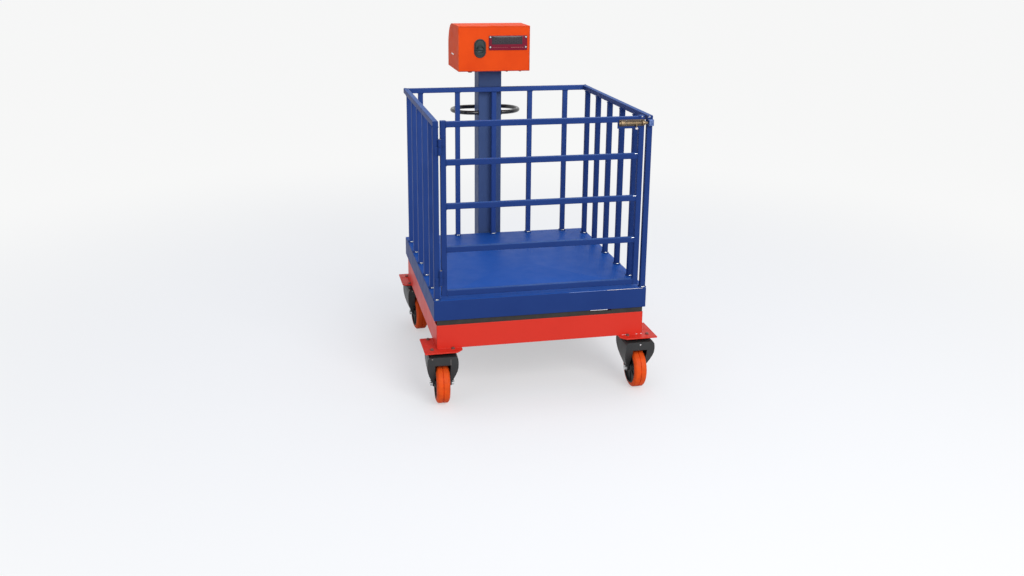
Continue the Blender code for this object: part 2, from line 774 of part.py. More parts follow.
def key_outline(width, height, centre, low, high):
    # The part of an obround between two heights
    radius = width / 2
    rise = height / 2 - radius
    points = []
    steps = 10
    if high is None:
        points.append((centre[0] + radius, low))
        for i in range(steps + 1):
            angle = math.radians(180 * i / steps)
            points.append((centre[0] + radius * math.cos(angle),
                           centre[1] + rise + radius * math.sin(angle)))
        points.append((centre[0] - radius, low))
    else:
        points.append((centre[0] - radius, high))
        for i in range(steps + 1):
            angle = math.radians(180 + 180 * i / steps)
            points.append((centre[0] + radius * math.cos(angle),
                           centre[1] - rise + radius * math.sin(angle)))
        points.append((centre[0] + radius, high))
    return points


def make_indicator(paints):
    orange = paints["orange"]
    left = COLUMN_X - CASE_W / 2
    right = COLUMN_X + CASE_W / 2
    face = from_front(CASE_FRONT)
    case = prism("indicator_case", case_outline(0.0), "x", left, right, orange, smooth=True)
    hollow = prism("hollow", case_outline(SHEET), "x", left + SHEET, right + 0.01, orange)
    key_centre = (from_left(BEZEL_X), above_deck(BEZEL_Z))
    sleeve_w = BEZEL_W - 2 * BEZEL_RIM
    sleeve_h = BEZEL_H - 2 * BEZEL_RIM
    key_hole = prism("key_hole", obround(sleeve_w + 2 * GAP, sleeve_h + 2 * GAP, key_centre),
                     "y", face - 0.01, face + 0.01, orange)
    display_hole = block("display_hole",
                         (from_left(CUTOUT_X[0]), face - 0.01, above_deck(CUTOUT_Z[0])),
                         (from_left(CUTOUT_X[1]), face + 0.01, above_deck(CUTOUT_Z[1])), orange)
    gland_hole = cylinder("gland_hole", "z", (from_left(GLAND_X), from_front(GLAND_Y)), 0.0055,
                          CASE_BOTTOM - 0.01, CASE_BOTTOM + 0.01, orange)
    cable_hole = cylinder("cable_hole", "z",
                          (COLUMN_X, from_front(COLUMN_FRONT + COLUMN / 2)), 0.015,
                          CASE_BOTTOM - 0.01, CASE_BOTTOM + 0.01, orange)
    cut(case, hollow, key_hole, display_hole, gland_hole, cable_hole)
    tidy_faces(case)

    prism("indicator_end_cover", case_outline(SHEET + GAP), "x", right - SHEET, right, orange,
          smooth=True)

    block("display_window",
          (from_left(WINDOW_X[0]), face - GAP - WINDOW_T, above_deck(WINDOW_Z[0])),
          (from_left(WINDOW_X[1]), face - GAP, above_deck(WINDOW_Z[1])), paints["window"])

    inside = face + SHEET
    board_y = inside + 0.014
    board = block("display_board",
                  (from_left(0.284), board_y, above_deck(0.770)),
                  (from_left(0.512), board_y + 0.0016, above_deck(0.872)), paints["board"])
    digits = block("digits",
                   (from_left(CUTOUT_X[0]) + 0.002, face + 0.0005,
                    above_deck(CUTOUT_Z[0]) + 0.002),
                   (from_left(CUTOUT_X[1]) - 0.002, board_y + 0.0008,
                    above_deck(CUTOUT_Z[1]) - 0.002), paints["board"])
    join(board, digits)

    bottom_in = CASE_BOTTOM + SHEET + GAP
    battery_y = from_front(CASE_FRONT + 0.185)
    block("indicator_battery", (COLUMN_X + 0.020, battery_y, bottom_in),
          (COLUMN_X + 0.120, battery_y + 0.047, bottom_in + 0.070), paints["battery"])

    rim = prism("key_bezel", obround(BEZEL_W, BEZEL_H, key_centre), "y",
                face - GAP - BEZEL_PROUD, face - GAP, paints["plastic"], smooth=True)
    sleeve = prism("sleeve", obround(sleeve_w, sleeve_h, key_centre), "y",
                   face - GAP - 0.001, face + BEZEL_DEPTH, paints["plastic"])
    opening = prism("opening", obround(sleeve_w - 0.004, sleeve_h - 0.004, key_centre), "y",
                    face - 0.02, face + 0.02, paints["plastic"])
    join(rim, sleeve)
    cut(rim, opening)
    tidy_faces(rim)

    key_w = sleeve_w - 0.004 - 2 * RUNNING
    key_h = sleeve_h - 0.004 - 2 * RUNNING
    key_face = face - GAP - BEZEL_PROUD - KEY_PROUD
    split = above_deck(KEY_SPLIT)
    prism("key_tare", key_outline(key_w, key_h, key_centre, split + KEY_GAP / 2, None), "y",
          key_face, key_face + KEY_DEPTH, paints["key"], smooth=True)
    prism("key_zero", key_outline(key_w, key_h, key_centre, None, split - KEY_GAP / 2), "y",
          key_face, key_face + KEY_DEPTH, paints["key"], smooth=True)

    gland = cylinder("cable_gland", "z", (from_left(GLAND_X), from_front(GLAND_Y)), GLAND_R,
                     CASE_BOTTOM - GAP - 0.011, CASE_BOTTOM - GAP, paints["plastic"], sides=12)
    thread = cylinder("thread", "z", (from_left(GLAND_X), from_front(GLAND_Y)), 0.005,
                      CASE_BOTTOM - GAP - 0.002, CASE_BOTTOM + SHEET + 0.004, paints["plastic"],
                      sides=12)
    join(gland, thread)


# Casters: each is modelled once about its own swivel axis, trailing to -Y, and then placed
def caster_plate_mesh(paints):
    black = paints["black"]
    top = CHASSIS_BOTTOM - EAR_T - GAP
    plate = prism("plate", rounded_square(PLATE_W, PLATE_D, 0.008, 2), "z", top - PLATE_T, top,
                  black, smooth=True)
    race = cylinder("race", "z", (0, 0), RACE_R, RACE_SPLIT + RUNNING / 2, top - PLATE_T + 0.001,
                    black, sides=16)
    return join(plate, race)


def fork_side(inset):
    # Trailing distance and height, with a round boss at the axle
    points = [(s - inset, z) for s, z in FORK_FRONT]
    steps = 5
    for i in range(steps + 1):
        angle = math.radians(10 - 180 * i / steps)
        points.append((TRAIL + (BOSS_R - inset) * math.cos(angle),
                       WHEEL_R + (BOSS_R - inset) * math.sin(angle)))
    return points + [(s + inset, z) for s, z in FORK_BACK]


def fork_arch(inset, top):
    # Across the wheel: the half widths up one side and down the other
    side = [(half - inset, min(z, top)) for z, half in FORK_SHOULDER]
    if inset:
        side[0] = (side[0][0], side[0][1] - 0.010)
    return side + [(-half, z) for half, z in reversed(side)]


def fork_mesh(paints):
    black = paints["black"]
    # A pressed shell: the arch across the wheel, cut to the side view
    fork = prism("fork", fork_arch(0.0, CROWN_TOP), "y", -0.15, 0.10, black)
    side = prism("side", [(-s, z) for s, z in fork_side(0.0)], "x", -0.10, 0.10, black)
    boolean(fork, [side], "INTERSECT")
    hollow = prism("hollow", fork_arch(FORK_T, CROWN_TOP - FORK_T), "y", -0.15, 0.10, black)
    inner = prism("inner", [(-s, z) for s, z in fork_side(FORK_T)], "x", -0.10, 0.10, black)
    boolean(hollow, [inner], "INTERSECT")
    slot = block("slot", (-FORK_SLOT, -0.15, 0.03), (FORK_SLOT, 0.10, FORK_SLOT_TOP), black)
    cut(fork, hollow, slot)
    race = cylinder("race", "z", (0, 0), RACE_R - 0.004, CROWN_TOP - 0.001,
                    RACE_SPLIT - RUNNING / 2, black, sides=16)
    half = FORK_SHOULDER[1][1]
    axle = cylinder("axle", "x", (-TRAIL, WHEEL_R), AXLE_R, -half + 0.002, half - 0.002, black)
    parts = [race, axle]
    for side_sign in (-1, 1):
        near = side_sign * (half - 0.002)
        far = side_sign * (half + NUT_T)
        parts.append(cylinder("nut", "x", (-TRAIL, WHEEL_R), NUT_R, min(near, far),
                              max(near, far), black, sides=6))
    join(fork, *parts)
    return tidy_faces(fork)


def lathe_x(name, profile, paint):
    # Turns a closed outline of (along the axle, radius) about the axle
    bm = bmesh.new()
    rings = []
    for i in range(WHEEL_SIDES):
        angle = 2 * math.pi * (i + 0.5) / WHEEL_SIDES
        rings.append([bm.verts.new((a, r * math.cos(angle), r * math.sin(angle)))
                      for a, r in profile])
    count = len(profile)
    for i in range(WHEEL_SIDES):
        here = rings[i]
        there = rings[(i + 1) % WHEEL_SIDES]
        for j in range(count):
            k = (j + 1) % count
            bm.faces.new((here[j], here[k], there[k], there[j]))
    return finish(name, bm, paint, smooth=True)


def tyre_mesh(paints):
    # The flats of the turned tread stand at the wheel's radius, so it rests on a flat
    grow = 1 / math.cos(math.pi / WHEEL_SIDES)
    half = WHEEL_W / 2
    outer = WHEEL_R * grow
    left = [(-half, WHEEL_R - TYRE_T)]
    left += [(-half + across, outer - down) for across, down in TYRE_SHOULDER]
    left.append((-GROOVE_W / 2, outer))
    profile = left + [(0.0, outer - GROOVE_DEPTH)] + [(-a, r) for a, r in reversed(left)]
    return lathe_x("tyre", profile, paints["tread"])


def hub_mesh(paints):
    grow = 1 / math.cos(math.pi / WHEEL_SIDES)
    rim = WHEEL_R - TYRE_T - GAP
    half = WHEEL_W / 2
    web = 0.016
    nave = 0.016
    bore = HUB_BORE_R * grow
    profile = [(-half - 0.001, bore), (-half - 0.001, nave), (-web, nave + 0.004),
               (-web, rim - 0.004), (-half, rim), (half, rim), (web, rim - 0.004),
               (web, nave + 0.004), (half + 0.001, nave), (half + 0.001, bore)]
    return lathe_x("hub", profile, paints["hub"])


def make_casters(paints):
    plate = caster_plate_mesh(paints)
    fork = fork_mesh(paints)
    hub = hub_mesh(paints)
    tyre = tyre_mesh(paints)
    corners = (
        ("front_left", -FRONT_SWIVEL_X, FRONT_SWIVEL_Y, FRONT_LEFT_TURN),
        ("front_right", FRONT_SWIVEL_X, FRONT_SWIVEL_Y, 0.0),
        ("rear_left", -REAR_SWIVEL_X, REAR_SWIVEL_Y, REAR_LEFT_TURN),
        ("rear_right", REAR_SWIVEL_X, REAR_SWIVEL_Y, 0.0),
    )
    for word, x, y, turn in corners:
        swivel = bpy.data.objects.new(f"swivel_{word}", None)
        swivel.location = (x, from_front(y), 0)
        swivel.rotation_euler = (0, 0, turn)
        bpy.context.collection.objects.link(swivel)
        top = bpy.data.objects.new(f"caster_plate_{word}", plate.data)
        top.location = (x, from_front(y), 0)
        legs = bpy.data.objects.new(f"caster_fork_{word}", fork.data)
        legs.parent = swivel
        for part, mesh in (("wheel_hub", hub.data), ("tyre", tyre.data)):
            wheel = bpy.data.objects.new(f"{part}_{word}", mesh)
            wheel.parent = swivel
            wheel.location = (0, -TRAIL, WHEEL_R)
            bpy.context.collection.objects.link(wheel)
        for made in (top, legs):
            bpy.context.collection.objects.link(made)
    for model in (plate, fork, hub, tyre):
        bpy.data.objects.remove(model)


def main():
    for old in list(bpy.data.objects):
        bpy.data.objects.remove(old)
    paints = make_materials()
    make_chassis(paints)
    make_load_cells(paints)
    make_deck(paints)
    hinge_post, _ = make_cage(paints)
    add_post_hinges(hinge_post, paints)
    make_gate(paints)
    make_latch(paints)
    make_column(paints)
    make_handle(paints)
    make_indicator(paints)
    make_casters(paints)


main()
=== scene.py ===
"""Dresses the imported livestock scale: finishes, fine pieces, studio, and camera.

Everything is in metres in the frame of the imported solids, with +Z up and the gate at -Y.
"""

import json
import logging
import math
from dataclasses import dataclass, field
from enum import Enum
from functools import cached_property

import bmesh
import bpy
import numpy as np
from mathutils import Matrix, Vector


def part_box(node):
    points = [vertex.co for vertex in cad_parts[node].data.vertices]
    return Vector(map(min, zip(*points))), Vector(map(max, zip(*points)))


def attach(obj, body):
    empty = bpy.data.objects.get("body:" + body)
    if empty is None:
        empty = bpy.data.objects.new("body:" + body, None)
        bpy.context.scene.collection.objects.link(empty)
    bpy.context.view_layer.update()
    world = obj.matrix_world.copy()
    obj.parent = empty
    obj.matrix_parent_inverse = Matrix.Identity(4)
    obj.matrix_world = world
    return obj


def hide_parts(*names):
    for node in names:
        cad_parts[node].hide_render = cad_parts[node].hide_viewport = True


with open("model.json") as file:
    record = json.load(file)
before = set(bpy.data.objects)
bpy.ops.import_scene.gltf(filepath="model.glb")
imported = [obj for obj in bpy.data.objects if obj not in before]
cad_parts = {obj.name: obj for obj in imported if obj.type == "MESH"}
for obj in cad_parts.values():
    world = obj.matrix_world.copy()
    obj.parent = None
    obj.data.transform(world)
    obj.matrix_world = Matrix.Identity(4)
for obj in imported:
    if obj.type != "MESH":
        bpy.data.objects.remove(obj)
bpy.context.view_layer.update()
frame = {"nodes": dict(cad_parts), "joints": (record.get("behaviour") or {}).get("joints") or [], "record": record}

Array = np.ndarray
Point = tuple | Array
Socket = bpy.types.NodeSocket
LOG = logging.getLogger("livestock_scale")
MM = 0.001
TUBE = 0.020  # The side of the cage's square tube
COAT_ROUGHNESS = 0.1
UP = (0, 0, 1)
RIGHT = (1, 0, 0)
FORWARD = (0, -1, 0)


class Body(Enum):
    """The bodies that pieces ride on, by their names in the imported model."""

    FRAME = "frame"
    GATE = "gate"
    BOLT = "latch_bolt"
    TARE = "key_tare"
    ZERO = "key_zero"


class Corner(Enum):
    """The four casters, by the last words of their nodes' names."""

    FRONT_LEFT = "front_left"
    FRONT_RIGHT = "front_right"
    REAR_LEFT = "rear_left"
    REAR_RIGHT = "rear_right"


class Face(Enum):
    """The ways that an upright shape can face: where each of its coordinates goes."""

    FRONT = ((1, 0, 0), (0, 0, 1), (0, -1, 0))
    RIGHT = ((0, 1, 0), (0, 0, 1), (1, 0, 0))
    LEFT = ((0, 1, 0), (0, 0, 1), (-1, 0, 0))


# Colour and node tools
def linear(colour: str) -> tuple[float, float, float, float]:
    """Turns a hex colour into linear light.

    Args:
        colour: An sRGB colour such as "#2A4A93".

    Returns:
        Red, green, blue and an alpha of 1, by the sRGB transfer curve.
    """
    raw = np.array([int(colour[i:i + 2], 16) for i in (1, 3, 5)]) / 255.0
    value = np.where(raw <= 0.04045, raw / 12.92, ((raw + 0.055) / 1.055) ** 2.4)
    return (*value.tolist(), 1.0)


def add_node(tree: bpy.types.NodeTree, kind: str, settings: dict | None = None,
             inputs: dict | None = None) -> bpy.types.Node:
    """Adds one shader node with its settings and what feeds it.

    Args:
        tree: The node tree that gets the node.
        kind: The node's Blender type.
        settings: Attributes of the node.
        inputs: For an input's name or number, a value or the socket that feeds it.

    Returns:
        The new node.
    """
    node = tree.nodes.new(kind)
    for key, value in (settings or {}).items():
        setattr(node, key, value)
    for key, value in (inputs or {}).items():
        if isinstance(value, Socket):
            tree.links.new(value, node.inputs[key])
        else:
            node.inputs[key].default_value = value
    return node


@dataclass
class Shade:
    """Writes into one tree the nodes that every material uses, and gives their sockets."""

    tree: bpy.types.NodeTree

    @cached_property
    def place(self) -> Socket:
        """Object coordinates."""
        return add_node(self.tree, "ShaderNodeTexCoord").outputs["Object"]

    def noise(self, size_mm: float, detail: float, roughness: float = 0.5) -> Socket:
        """Noise with features of a size in millimetres on the real object."""
        return add_node(self.tree, "ShaderNodeTexNoise", None,
                        {"Vector": self.place, "Scale": 1.0 / (size_mm * MM),
                         "Detail": detail, "Roughness": roughness}).outputs["Fac"]

    def span(self, value: Socket, low: float, high: float, to_low: float = 0.0,
             to_high: float = 1.0, curve: str = "LINEAR") -> Socket:
        """Maps a range of values onto another, and holds what lies outside at its ends."""
        return add_node(self.tree, "ShaderNodeMapRange", {"interpolation_type": curve},
                        {"Value": value, "From Min": low, "From Max": high,
                         "To Min": to_low, "To Max": to_high}).outputs["Result"]

    def sum_up(self, operation: str, first: Socket, second: Socket) -> Socket:
        """Makes one value of two by a Math operation."""
        return add_node(self.tree, "ShaderNodeMath", {"operation": operation},
                        {0: first, 1: second}).outputs["Value"]

    def blend(self, share: Socket, first: Socket | str, second: str) -> Socket:
        """Blends a socket or a hex colour towards a hex colour."""
        start = linear(first) if isinstance(first, str) else first
        return add_node(self.tree, "ShaderNodeMix", {"data_type": "RGBA"},
                        {0: share, 6: start, 7: linear(second)}).outputs[2]

    def seen(self) -> Socket:
        """Tells the rays that show the background from those that light the object.

        Returns:
            A socket that is 1 for camera, glossy and transmission rays.
        """
        light = add_node(self.tree, "ShaderNodeLightPath").outputs
        either = self.sum_up("MAXIMUM", light["Is Camera Ray"], light["Is Glossy Ray"])
        return self.sum_up("MAXIMUM", either, light["Is Transmission Ray"])


@dataclass(frozen=True)
class Finish:
    """A surface: its colour, how it was made, how it has aged, and on some the light painted on their tops and
    edges.

    Attributes:
        name: The real material.
        slot: The record's slot that it belongs to.
        colour: Its main colour.
        tint: The colour that it drifts to in soft blotches.
        roughness: Its mean roughness.
        swing: How far wiping and handling move the roughness either way.
        tint_mm: The blotches' size in millimetres.
        tint_share: How far they go towards the tint.
        metallic: Whether it is bare metal, from 0 to 1.
        grain_mm: The size of its fine relief, such as orange peel in paint.
        depth_mm: The depth of that relief.
        gloss: The strength of its reflection at right angles.
        coat: A clear coat's weight.
        edge: The colour along its edges, if it has one: paint rubbed thin, and a painted highlight.
        edge_mm: The width of those edges.
        edge_share: How far they go towards that colour.
        top_light: A lighter colour painted on its upward faces, if it has one: painted light from above.
        top_light_share: How far the upward faces go towards it.
    """

    name: str
    slot: str
    colour: str
    tint: str
    roughness: float
    swing: float = 0.05
    tint_mm: float = 160.0
    tint_share: float = 0.35
    metallic: float = 0.0
    grain_mm: float = 2.5
    depth_mm: float = 0.02
    gloss: float = 0.5
    coat: float = 0.0
    edge: str | None = None
    edge_mm: float = 1.4
    edge_share: float = 0.4
    top_light: str | None = None
    top_light_share: float = 0.8

    def build(self) -> bpy.types.Material:
        """Makes the material from the fields.

        Returns:
            A material whose Principled shader is fed by noise on Object coordinates.
        """
        made = bpy.data.materials.new(self.name)
        made.use_nodes = True
        made.diffuse_color = linear(self.colour)
        shade = Shade(made.node_tree)
        sockets = shade.tree.nodes["Principled BSDF"].inputs
        sockets["Metallic"].default_value = self.metallic
        sockets["Specular IOR Level"].default_value = self.gloss
        sockets["Coat Weight"].default_value = self.coat
        sockets["Coat Roughness"].default_value = COAT_ROUGHNESS
        blotches = shade.span(shade.noise(self.tint_mm, 4.0, 0.55), 0.38, 0.68,
                              to_high=self.tint_share)
        colour = shade.blend(blotches, self.colour, self.tint)
        # Painted light: upward faces are blended towards a lighter colour, as if lit from above
        if self.top_light:
            colour = shade.blend(self.top_light_amount(shade), colour, self.top_light)
        relief = {"Height": shade.noise(self.grain_mm, 2.0),
                  "Distance": self.depth_mm * MM, "Strength": 0.6}
        # The edge colour stands for paint rubbed thin on edges and paints a highlight along them
        if self.edge:
            relief["Normal"] = add_node(shade.tree, "ShaderNodeBevel", {"samples": 4},
                                        {"Radius": self.edge_mm * MM}).outputs["Normal"]
            colour = shade.blend(self.edge_wear_and_highlight(shade, relief["Normal"]), colour, self.edge)
        roughness = shade.span(shade.noise(45.0, 5.0, 0.6), 0.3, 0.7,
                               max(0.02, self.roughness - self.swing),
                               self.roughness + self.swing)
        bump = add_node(shade.tree, "ShaderNodeBump", None, relief).outputs["Normal"]
        for name, socket in (("Base Color", colour), ("Roughness", roughness),
                             ("Normal", bump)):
            shade.tree.links.new(socket, sockets[name])
        return made

    def top_light_amount(self, shade: Shade) -> Socket:
        """Paints light on the faces whose normal points up, broken up by specks.

        Args:
            shade: The material's nodes.

        Returns:
            The painted light's share at each point.
        """
        normal = add_node(shade.tree, "ShaderNodeNewGeometry").outputs["Normal"]
        parts = add_node(shade.tree, "ShaderNodeSeparateXYZ", None, {"Vector": normal})
        level = shade.span(parts.outputs["Z"], 0.75, 0.98, to_high=self.top_light_share)
        return shade.sum_up("MULTIPLY", level, shade.noise(9.0, 6.0))

    def edge_wear_and_highlight(self, shade: Shade, rounded: Socket) -> Socket:
        """Thins paint and paints a highlight in broken lines where the rounded normal leaves the face's.

        Args:
            shade: The material's nodes.
            rounded: The normal of the rounded edges.

        Returns:
            The wear's share at each point.
        """
        own = add_node(shade.tree, "ShaderNodeNewGeometry").outputs["Normal"]
        agree = add_node(shade.tree, "ShaderNodeVectorMath", {"operation": "DOT_PRODUCT"},
                         {0: rounded, 1: own}).outputs["Value"]
        near = shade.span(agree, 0.995, 0.88, to_high=self.edge_share)
        return shade.sum_up("MULTIPLY", near, shade.span(shade.noise(14.0, 5.0), 0.45, 0.62))


class Coat(Enum):
    """Every finish on the scale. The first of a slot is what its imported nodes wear."""

    # Enamel on welded steel: a soft gloss with orange peel, rubbed thin on edges, where a lighter
    # colour also paints a highlight; its upward faces are painted lighter, as lit from above
    BLUE = Finish("blue enamel on steel", "blue_enamel", "#223A74", "#28437F", 0.44,
                  depth_mm=0.03, gloss=0.06, edge="#4F6FAE", top_light="#3F70B8")
    # The back and left bars and the back rail: the same blue painted a shade paler, as painted light on parts that
    # stand in shade
    WORN = Finish("blue enamel painted paler on bars", "blue_enamel", "#2F4A8A", "#385594", 0.46,
                  depth_mm=0.03, gloss=0.06, edge="#5F7DB8")
    # The column, which stands in the weather behind the deck: duller, chalked greyer, and painted paler as painted
    # light for the shade it stands in
    CHALKED = Finish("chalked blue enamel painted paler on column", "blue_enamel", "#465A84", "#3C507A",
                     0.50, depth_mm=0.03, gloss=0.10, edge="#5F7AB0")
    # The flat plate: rolled on thick and smoother; its lighter, more saturated blue is painted light on the lit
    # top
    DECK = Finish("blue enamel painted lighter on deck plate", "blue_enamel", "#1F53A6", "#265BB2", 0.48,
                  tint_mm=240.0, grain_mm=5.0, gloss=0.08)
    # Enamel that use has rubbed to bright steel, in small bright blotches that also paint highlights
    RUBBED = Finish("blue enamel rubbed to steel", "blue_enamel", "#1F4388", "#8AA2CE", 0.30,
                    tint_mm=4.0, tint_share=0.7, metallic=0.3, grain_mm=0.8)
    # The chassis: the same enamel in red, a little glossier
    RED = Finish("red enamel on steel", "red_enamel", "#DC3424", "#CF2E1E", 0.42,
                 depth_mm=0.03, gloss=0.20, edge="#E8745C", edge_share=0.30)
    # The indicator's folded sheet: finer and nearly matt, its pale edges rubbed thin and painted as a highlight
    ORANGE = Finish("orange enamel on sheet steel", "orange_enamel", "#F8541C", "#EC4A1A",
                    0.46, tint_mm=130.0, tint_share=0.8, grain_mm=1.6, gloss=0.03,
                    edge="#FF9560", edge_mm=0.8, edge_share=0.25)
    # Dark red on the case's feet and on lines along its front edges, where it paints the shade on their rounds
    PRIMER = Finish("dark red edge shade and feet", "orange_enamel", "#9C2F22", "#842A20",
                    0.50, tint_mm=12.0, grain_mm=1.2, gloss=0.26)
    # Baked black paint on pressed steel: satin, with a fine grain that scatters highlights
    BLACK_STEEL = Finish("black baked paint on pressed steel", "black_pressed_steel",
                         "#2A2A2A", "#353433", 0.44, tint_mm=40.0, grain_mm=1.0,
                         depth_mm=0.03, gloss=0.35, edge="#5E5C58", edge_mm=0.8)
    # The push handle: glossy under a thin clear coat
    BLACK_GLOSS = Finish("black gloss enamel on bar", "black_enamel", "#17171A", "#232328",
                         0.26, grain_mm=3.0, coat=0.2)
    # The wheels' hubs: moulded, with a dull fine grain
    NYLON = Finish("moulded black nylon", "black_nylon", "#222222", "#2C2B2A", 0.52,
                   tint_mm=12.0, grain_mm=0.7, depth_mm=0.04, gloss=0.3)
    # Extruded rubber: matt, greyed by dust
    RUBBER = Finish("black extruded rubber", "black_nylon", "#34312D", "#403C36", 0.70,
                    tint_mm=30.0, tint_share=0.7, grain_mm=0.6, depth_mm=0.04, gloss=0.2)
    # Cast polyurethane tread: waxy, with ground-in dirt that browns it
    TREAD = Finish("cast orange polyurethane", "orange_polyurethane", "#EC5518", "#C2441A",
                   0.54, swing=0.08, tint_mm=22.0, tint_share=0.5, grain_mm=1.2,
                   depth_mm=0.05, gloss=0.12)
    # Yellow-passivated plating on small ironmongery, rubbed grey and brown in use
    BRASS = Finish("rubbed yellow plating", "brass_plated_steel", "#988163", "#655949", 0.34,
                   swing=0.12, tint_mm=7.0, tint_share=0.8, metallic=0.85, grain_mm=0.8)
    TARNISHED = Finish("tarnished yellow plating", "brass_plated_steel", "#5C5044",
                       "#463E3A", 0.42, swing=0.1, tint_mm=6.0, tint_share=0.8,
                       metallic=0.8, grain_mm=0.8)
    # The load cells
    NICKEL = Finish("nickel plated alloy steel", "nickel_plated_steel", "#B9B8B2", "#A09F99",
                    0.30, tint_mm=20.0, metallic=0.9, grain_mm=0.8, depth_mm=0.01)
    # Nuts and bare weld ends, which glint
    ZINC = Finish("bright zinc plating", "nickel_plated_steel", "#D2D4D6", "#A9ABAA", 0.26,
                  tint_mm=6.0, metallic=1.0, grain_mm=0.6, depth_mm=0.01)
    # White-blue passivated zinc, near white and mostly matt, so its own colour paints a glint that shows at any
    # angle
    PALE_ZINC = Finish("white zinc plating with painted glint", "nickel_plated_steel", "#DCD6D6", "#C8C0C0",
                       0.50, tint_mm=3.0, metallic=0.25, grain_mm=0.5, depth_mm=0.01)
    # Bolts that have stood outdoors
    DULL_ZINC = Finish("weathered zinc plating", "nickel_plated_steel", "#84807C", "#6A5F5A",
                       0.48, tint_mm=5.0, tint_share=0.7, metallic=0.8, grain_mm=0.6)
    # Zinc bolts that the red overspray has half covered
    OVERSPRAYED = Finish("red overspray on zinc", "nickel_plated_steel", "#7C4A40",
                         "#6A5650", 0.55, tint_mm=4.0, tint_share=0.8, metallic=0.2,
                         grain_mm=0.6)
    # The window, with the display and its unlit digits behind: smooth and clear
    ACRYLIC = Finish("dark red acrylic", "dark_red_acrylic", "#862034", "#781B2E", 0.22,
                     swing=0.02, tint_mm=30.0, grain_mm=8.0, depth_mm=0.005, gloss=0.12)
    DISPLAY = Finish("smoked display glass", "dark_red_acrylic", "#362F33", "#3C3438", 0.16,
                     swing=0.02, tint_mm=25.0, grain_mm=8.0, depth_mm=0.005, gloss=0.35)
    SEGMENT = Finish("unlit display segment", "dark_red_acrylic", "#3B3337", "#40383C", 0.30,
                     tint_mm=5.0, grain_mm=1.0, depth_mm=0.005, gloss=0.35)
    MARK = Finish("faded red print", "dark_red_acrylic", "#B4655E", "#A85A58", 0.40,
                  tint_mm=3.0, grain_mm=0.5, depth_mm=0.005, gloss=0.35)
    # The keys and their surround: dull and soft, against a satin moulding
    PLASTIC = Finish("moulded black abs", "black_abs", "#242A2A", "#2E3534", 0.42,
                     tint_mm=10.0, grain_mm=0.6, depth_mm=0.03, gloss=0.35)
    KEY = Finish("dark grey silicone rubber", "dark_grey_rubber", "#2E3837", "#384341", 0.60,
                 tint_mm=9.0, grain_mm=0.5, depth_mm=0.03, gloss=0.35)
    # Grey lines by the keys' split: painted highlights along the gap between the keys
    LEGEND = Finish("grey painted highlight by key split", "dark_grey_rubber", "#87908F", "#7A8382", 0.50,
                    tint_mm=3.0, grain_mm=0.5, depth_mm=0.005)
    # What the case holds
    BOARD = Finish("green solder mask", "circuit_board", "#1C5A38", "#22663F", 0.35,
                   tint_mm=12.0, grain_mm=0.5)
    BATTERY = Finish("grey battery plastic", "grey_battery_case", "#4A4B4F", "#55565A", 0.50,
                     tint_mm=15.0, grain_mm=0.6, depth_mm=0.03)

    @property
    def slot(self) -> str:
        """The record's slot that the finish belongs to."""
        return self.value.slot

    @property
    def material(self) -> bpy.types.Material:
        """The finish's material, made when it is first asked for."""
        return bpy.data.materials.get(self.value.name) or self.value.build()


# Surfaces, each a grid of points
def circle(count: int, radius: float = 1.0, start: float = 0.0) -> Array:
    """Points evenly round a circle, (radius cos a, radius sin a), from a start angle."""
    angle = start + np.arange(count) * 2 * np.pi / count
    return radius * np.stack([np.cos(angle), np.sin(angle)], axis=-1)


def rounded_box(width: float, height: float, radius: float, steps: int = 4) -> Array:
    """A rectangle with quarter circles for corners, anticlockwise, about its centre.

    Args:
        width: The size along the first axis.
        height: The size along the second axis.
        radius: The corners' radius.
        steps: How many spans each corner has.

    Returns:
        An array of 4 (steps + 1) by 2.
    """
    turn = np.linspace(0.0, np.pi / 2, steps + 1)
    angle = np.arange(4)[:, None] * np.pi / 2 + turn[None]
    centre = np.array([[1, 1], [-1, 1], [-1, -1], [1, -1]], float)
    centre *= np.array([width / 2 - radius, height / 2 - radius])
    points = centre[:, None] + radius * np.stack([np.cos(angle), np.sin(angle)], axis=-1)
    return points.reshape(-1, 2)


def obround(width: float, height: float, steps: int = 20) -> Array:
    """A tall slot shape: two half circles of the width, joined by straight sides.

    Args:
        width: The whole width.
        height: The whole height.
        steps: How many spans each half circle has.

    Returns:
        An array of 2 (steps + 1) by 2, anticlockwise.
    """
    turn = np.linspace(0.0, np.pi, steps + 1)
    half = np.stack([np.cos(turn), np.sin(turn)], axis=-1) * width / 2
    rise = np.array([0.0, (height - width) / 2])
    return np.concatenate([half + rise, -half - rise])


def lifted(flat: Array, height: float | Array = 0.0) -> Array:
    """Gives flat points a third coordinate."""
    tall = np.broadcast_to(height, (*flat.shape[:-1], 1))
    return np.concatenate([flat, tall], axis=-1)


def mirrored(profile: Array) -> Array:
    """A profile, then its mirror image across height 0, from its end back to its start."""
    return np.concatenate([profile, (profile * np.array([1, -1]))[::-1]])


def layers(outline: Array, insets: Array | list, heights: Array | list) -> Array:
    """A stack of copies of an outline, each moved in along the mitres of its corners.

    Args:
        outline: A closed anticlockwise outline, an array of n by 2.
        insets: How far in each of k copies is.
        heights: Each copy's height.

    Returns:
        A grid of k by n by 3.
    """
    sides = []
    for run in (np.roll(outline, -1, axis=0) - outline, outline - np.roll(outline, 1, axis=0)):
        normal = np.stack([-run[:, 1], run[:, 0]], axis=-1)
        sides.append(normal / np.linalg.norm(normal, axis=-1, keepdims=True))
    mitre = (sides[0] + sides[1]) / (1 + (sides[0] * sides[1]).sum(-1, keepdims=True))
    flat = outline[None] + np.asarray(insets)[:, None, None] * mitre[None]
    return lifted(flat, np.asarray(heights)[:, None, None])


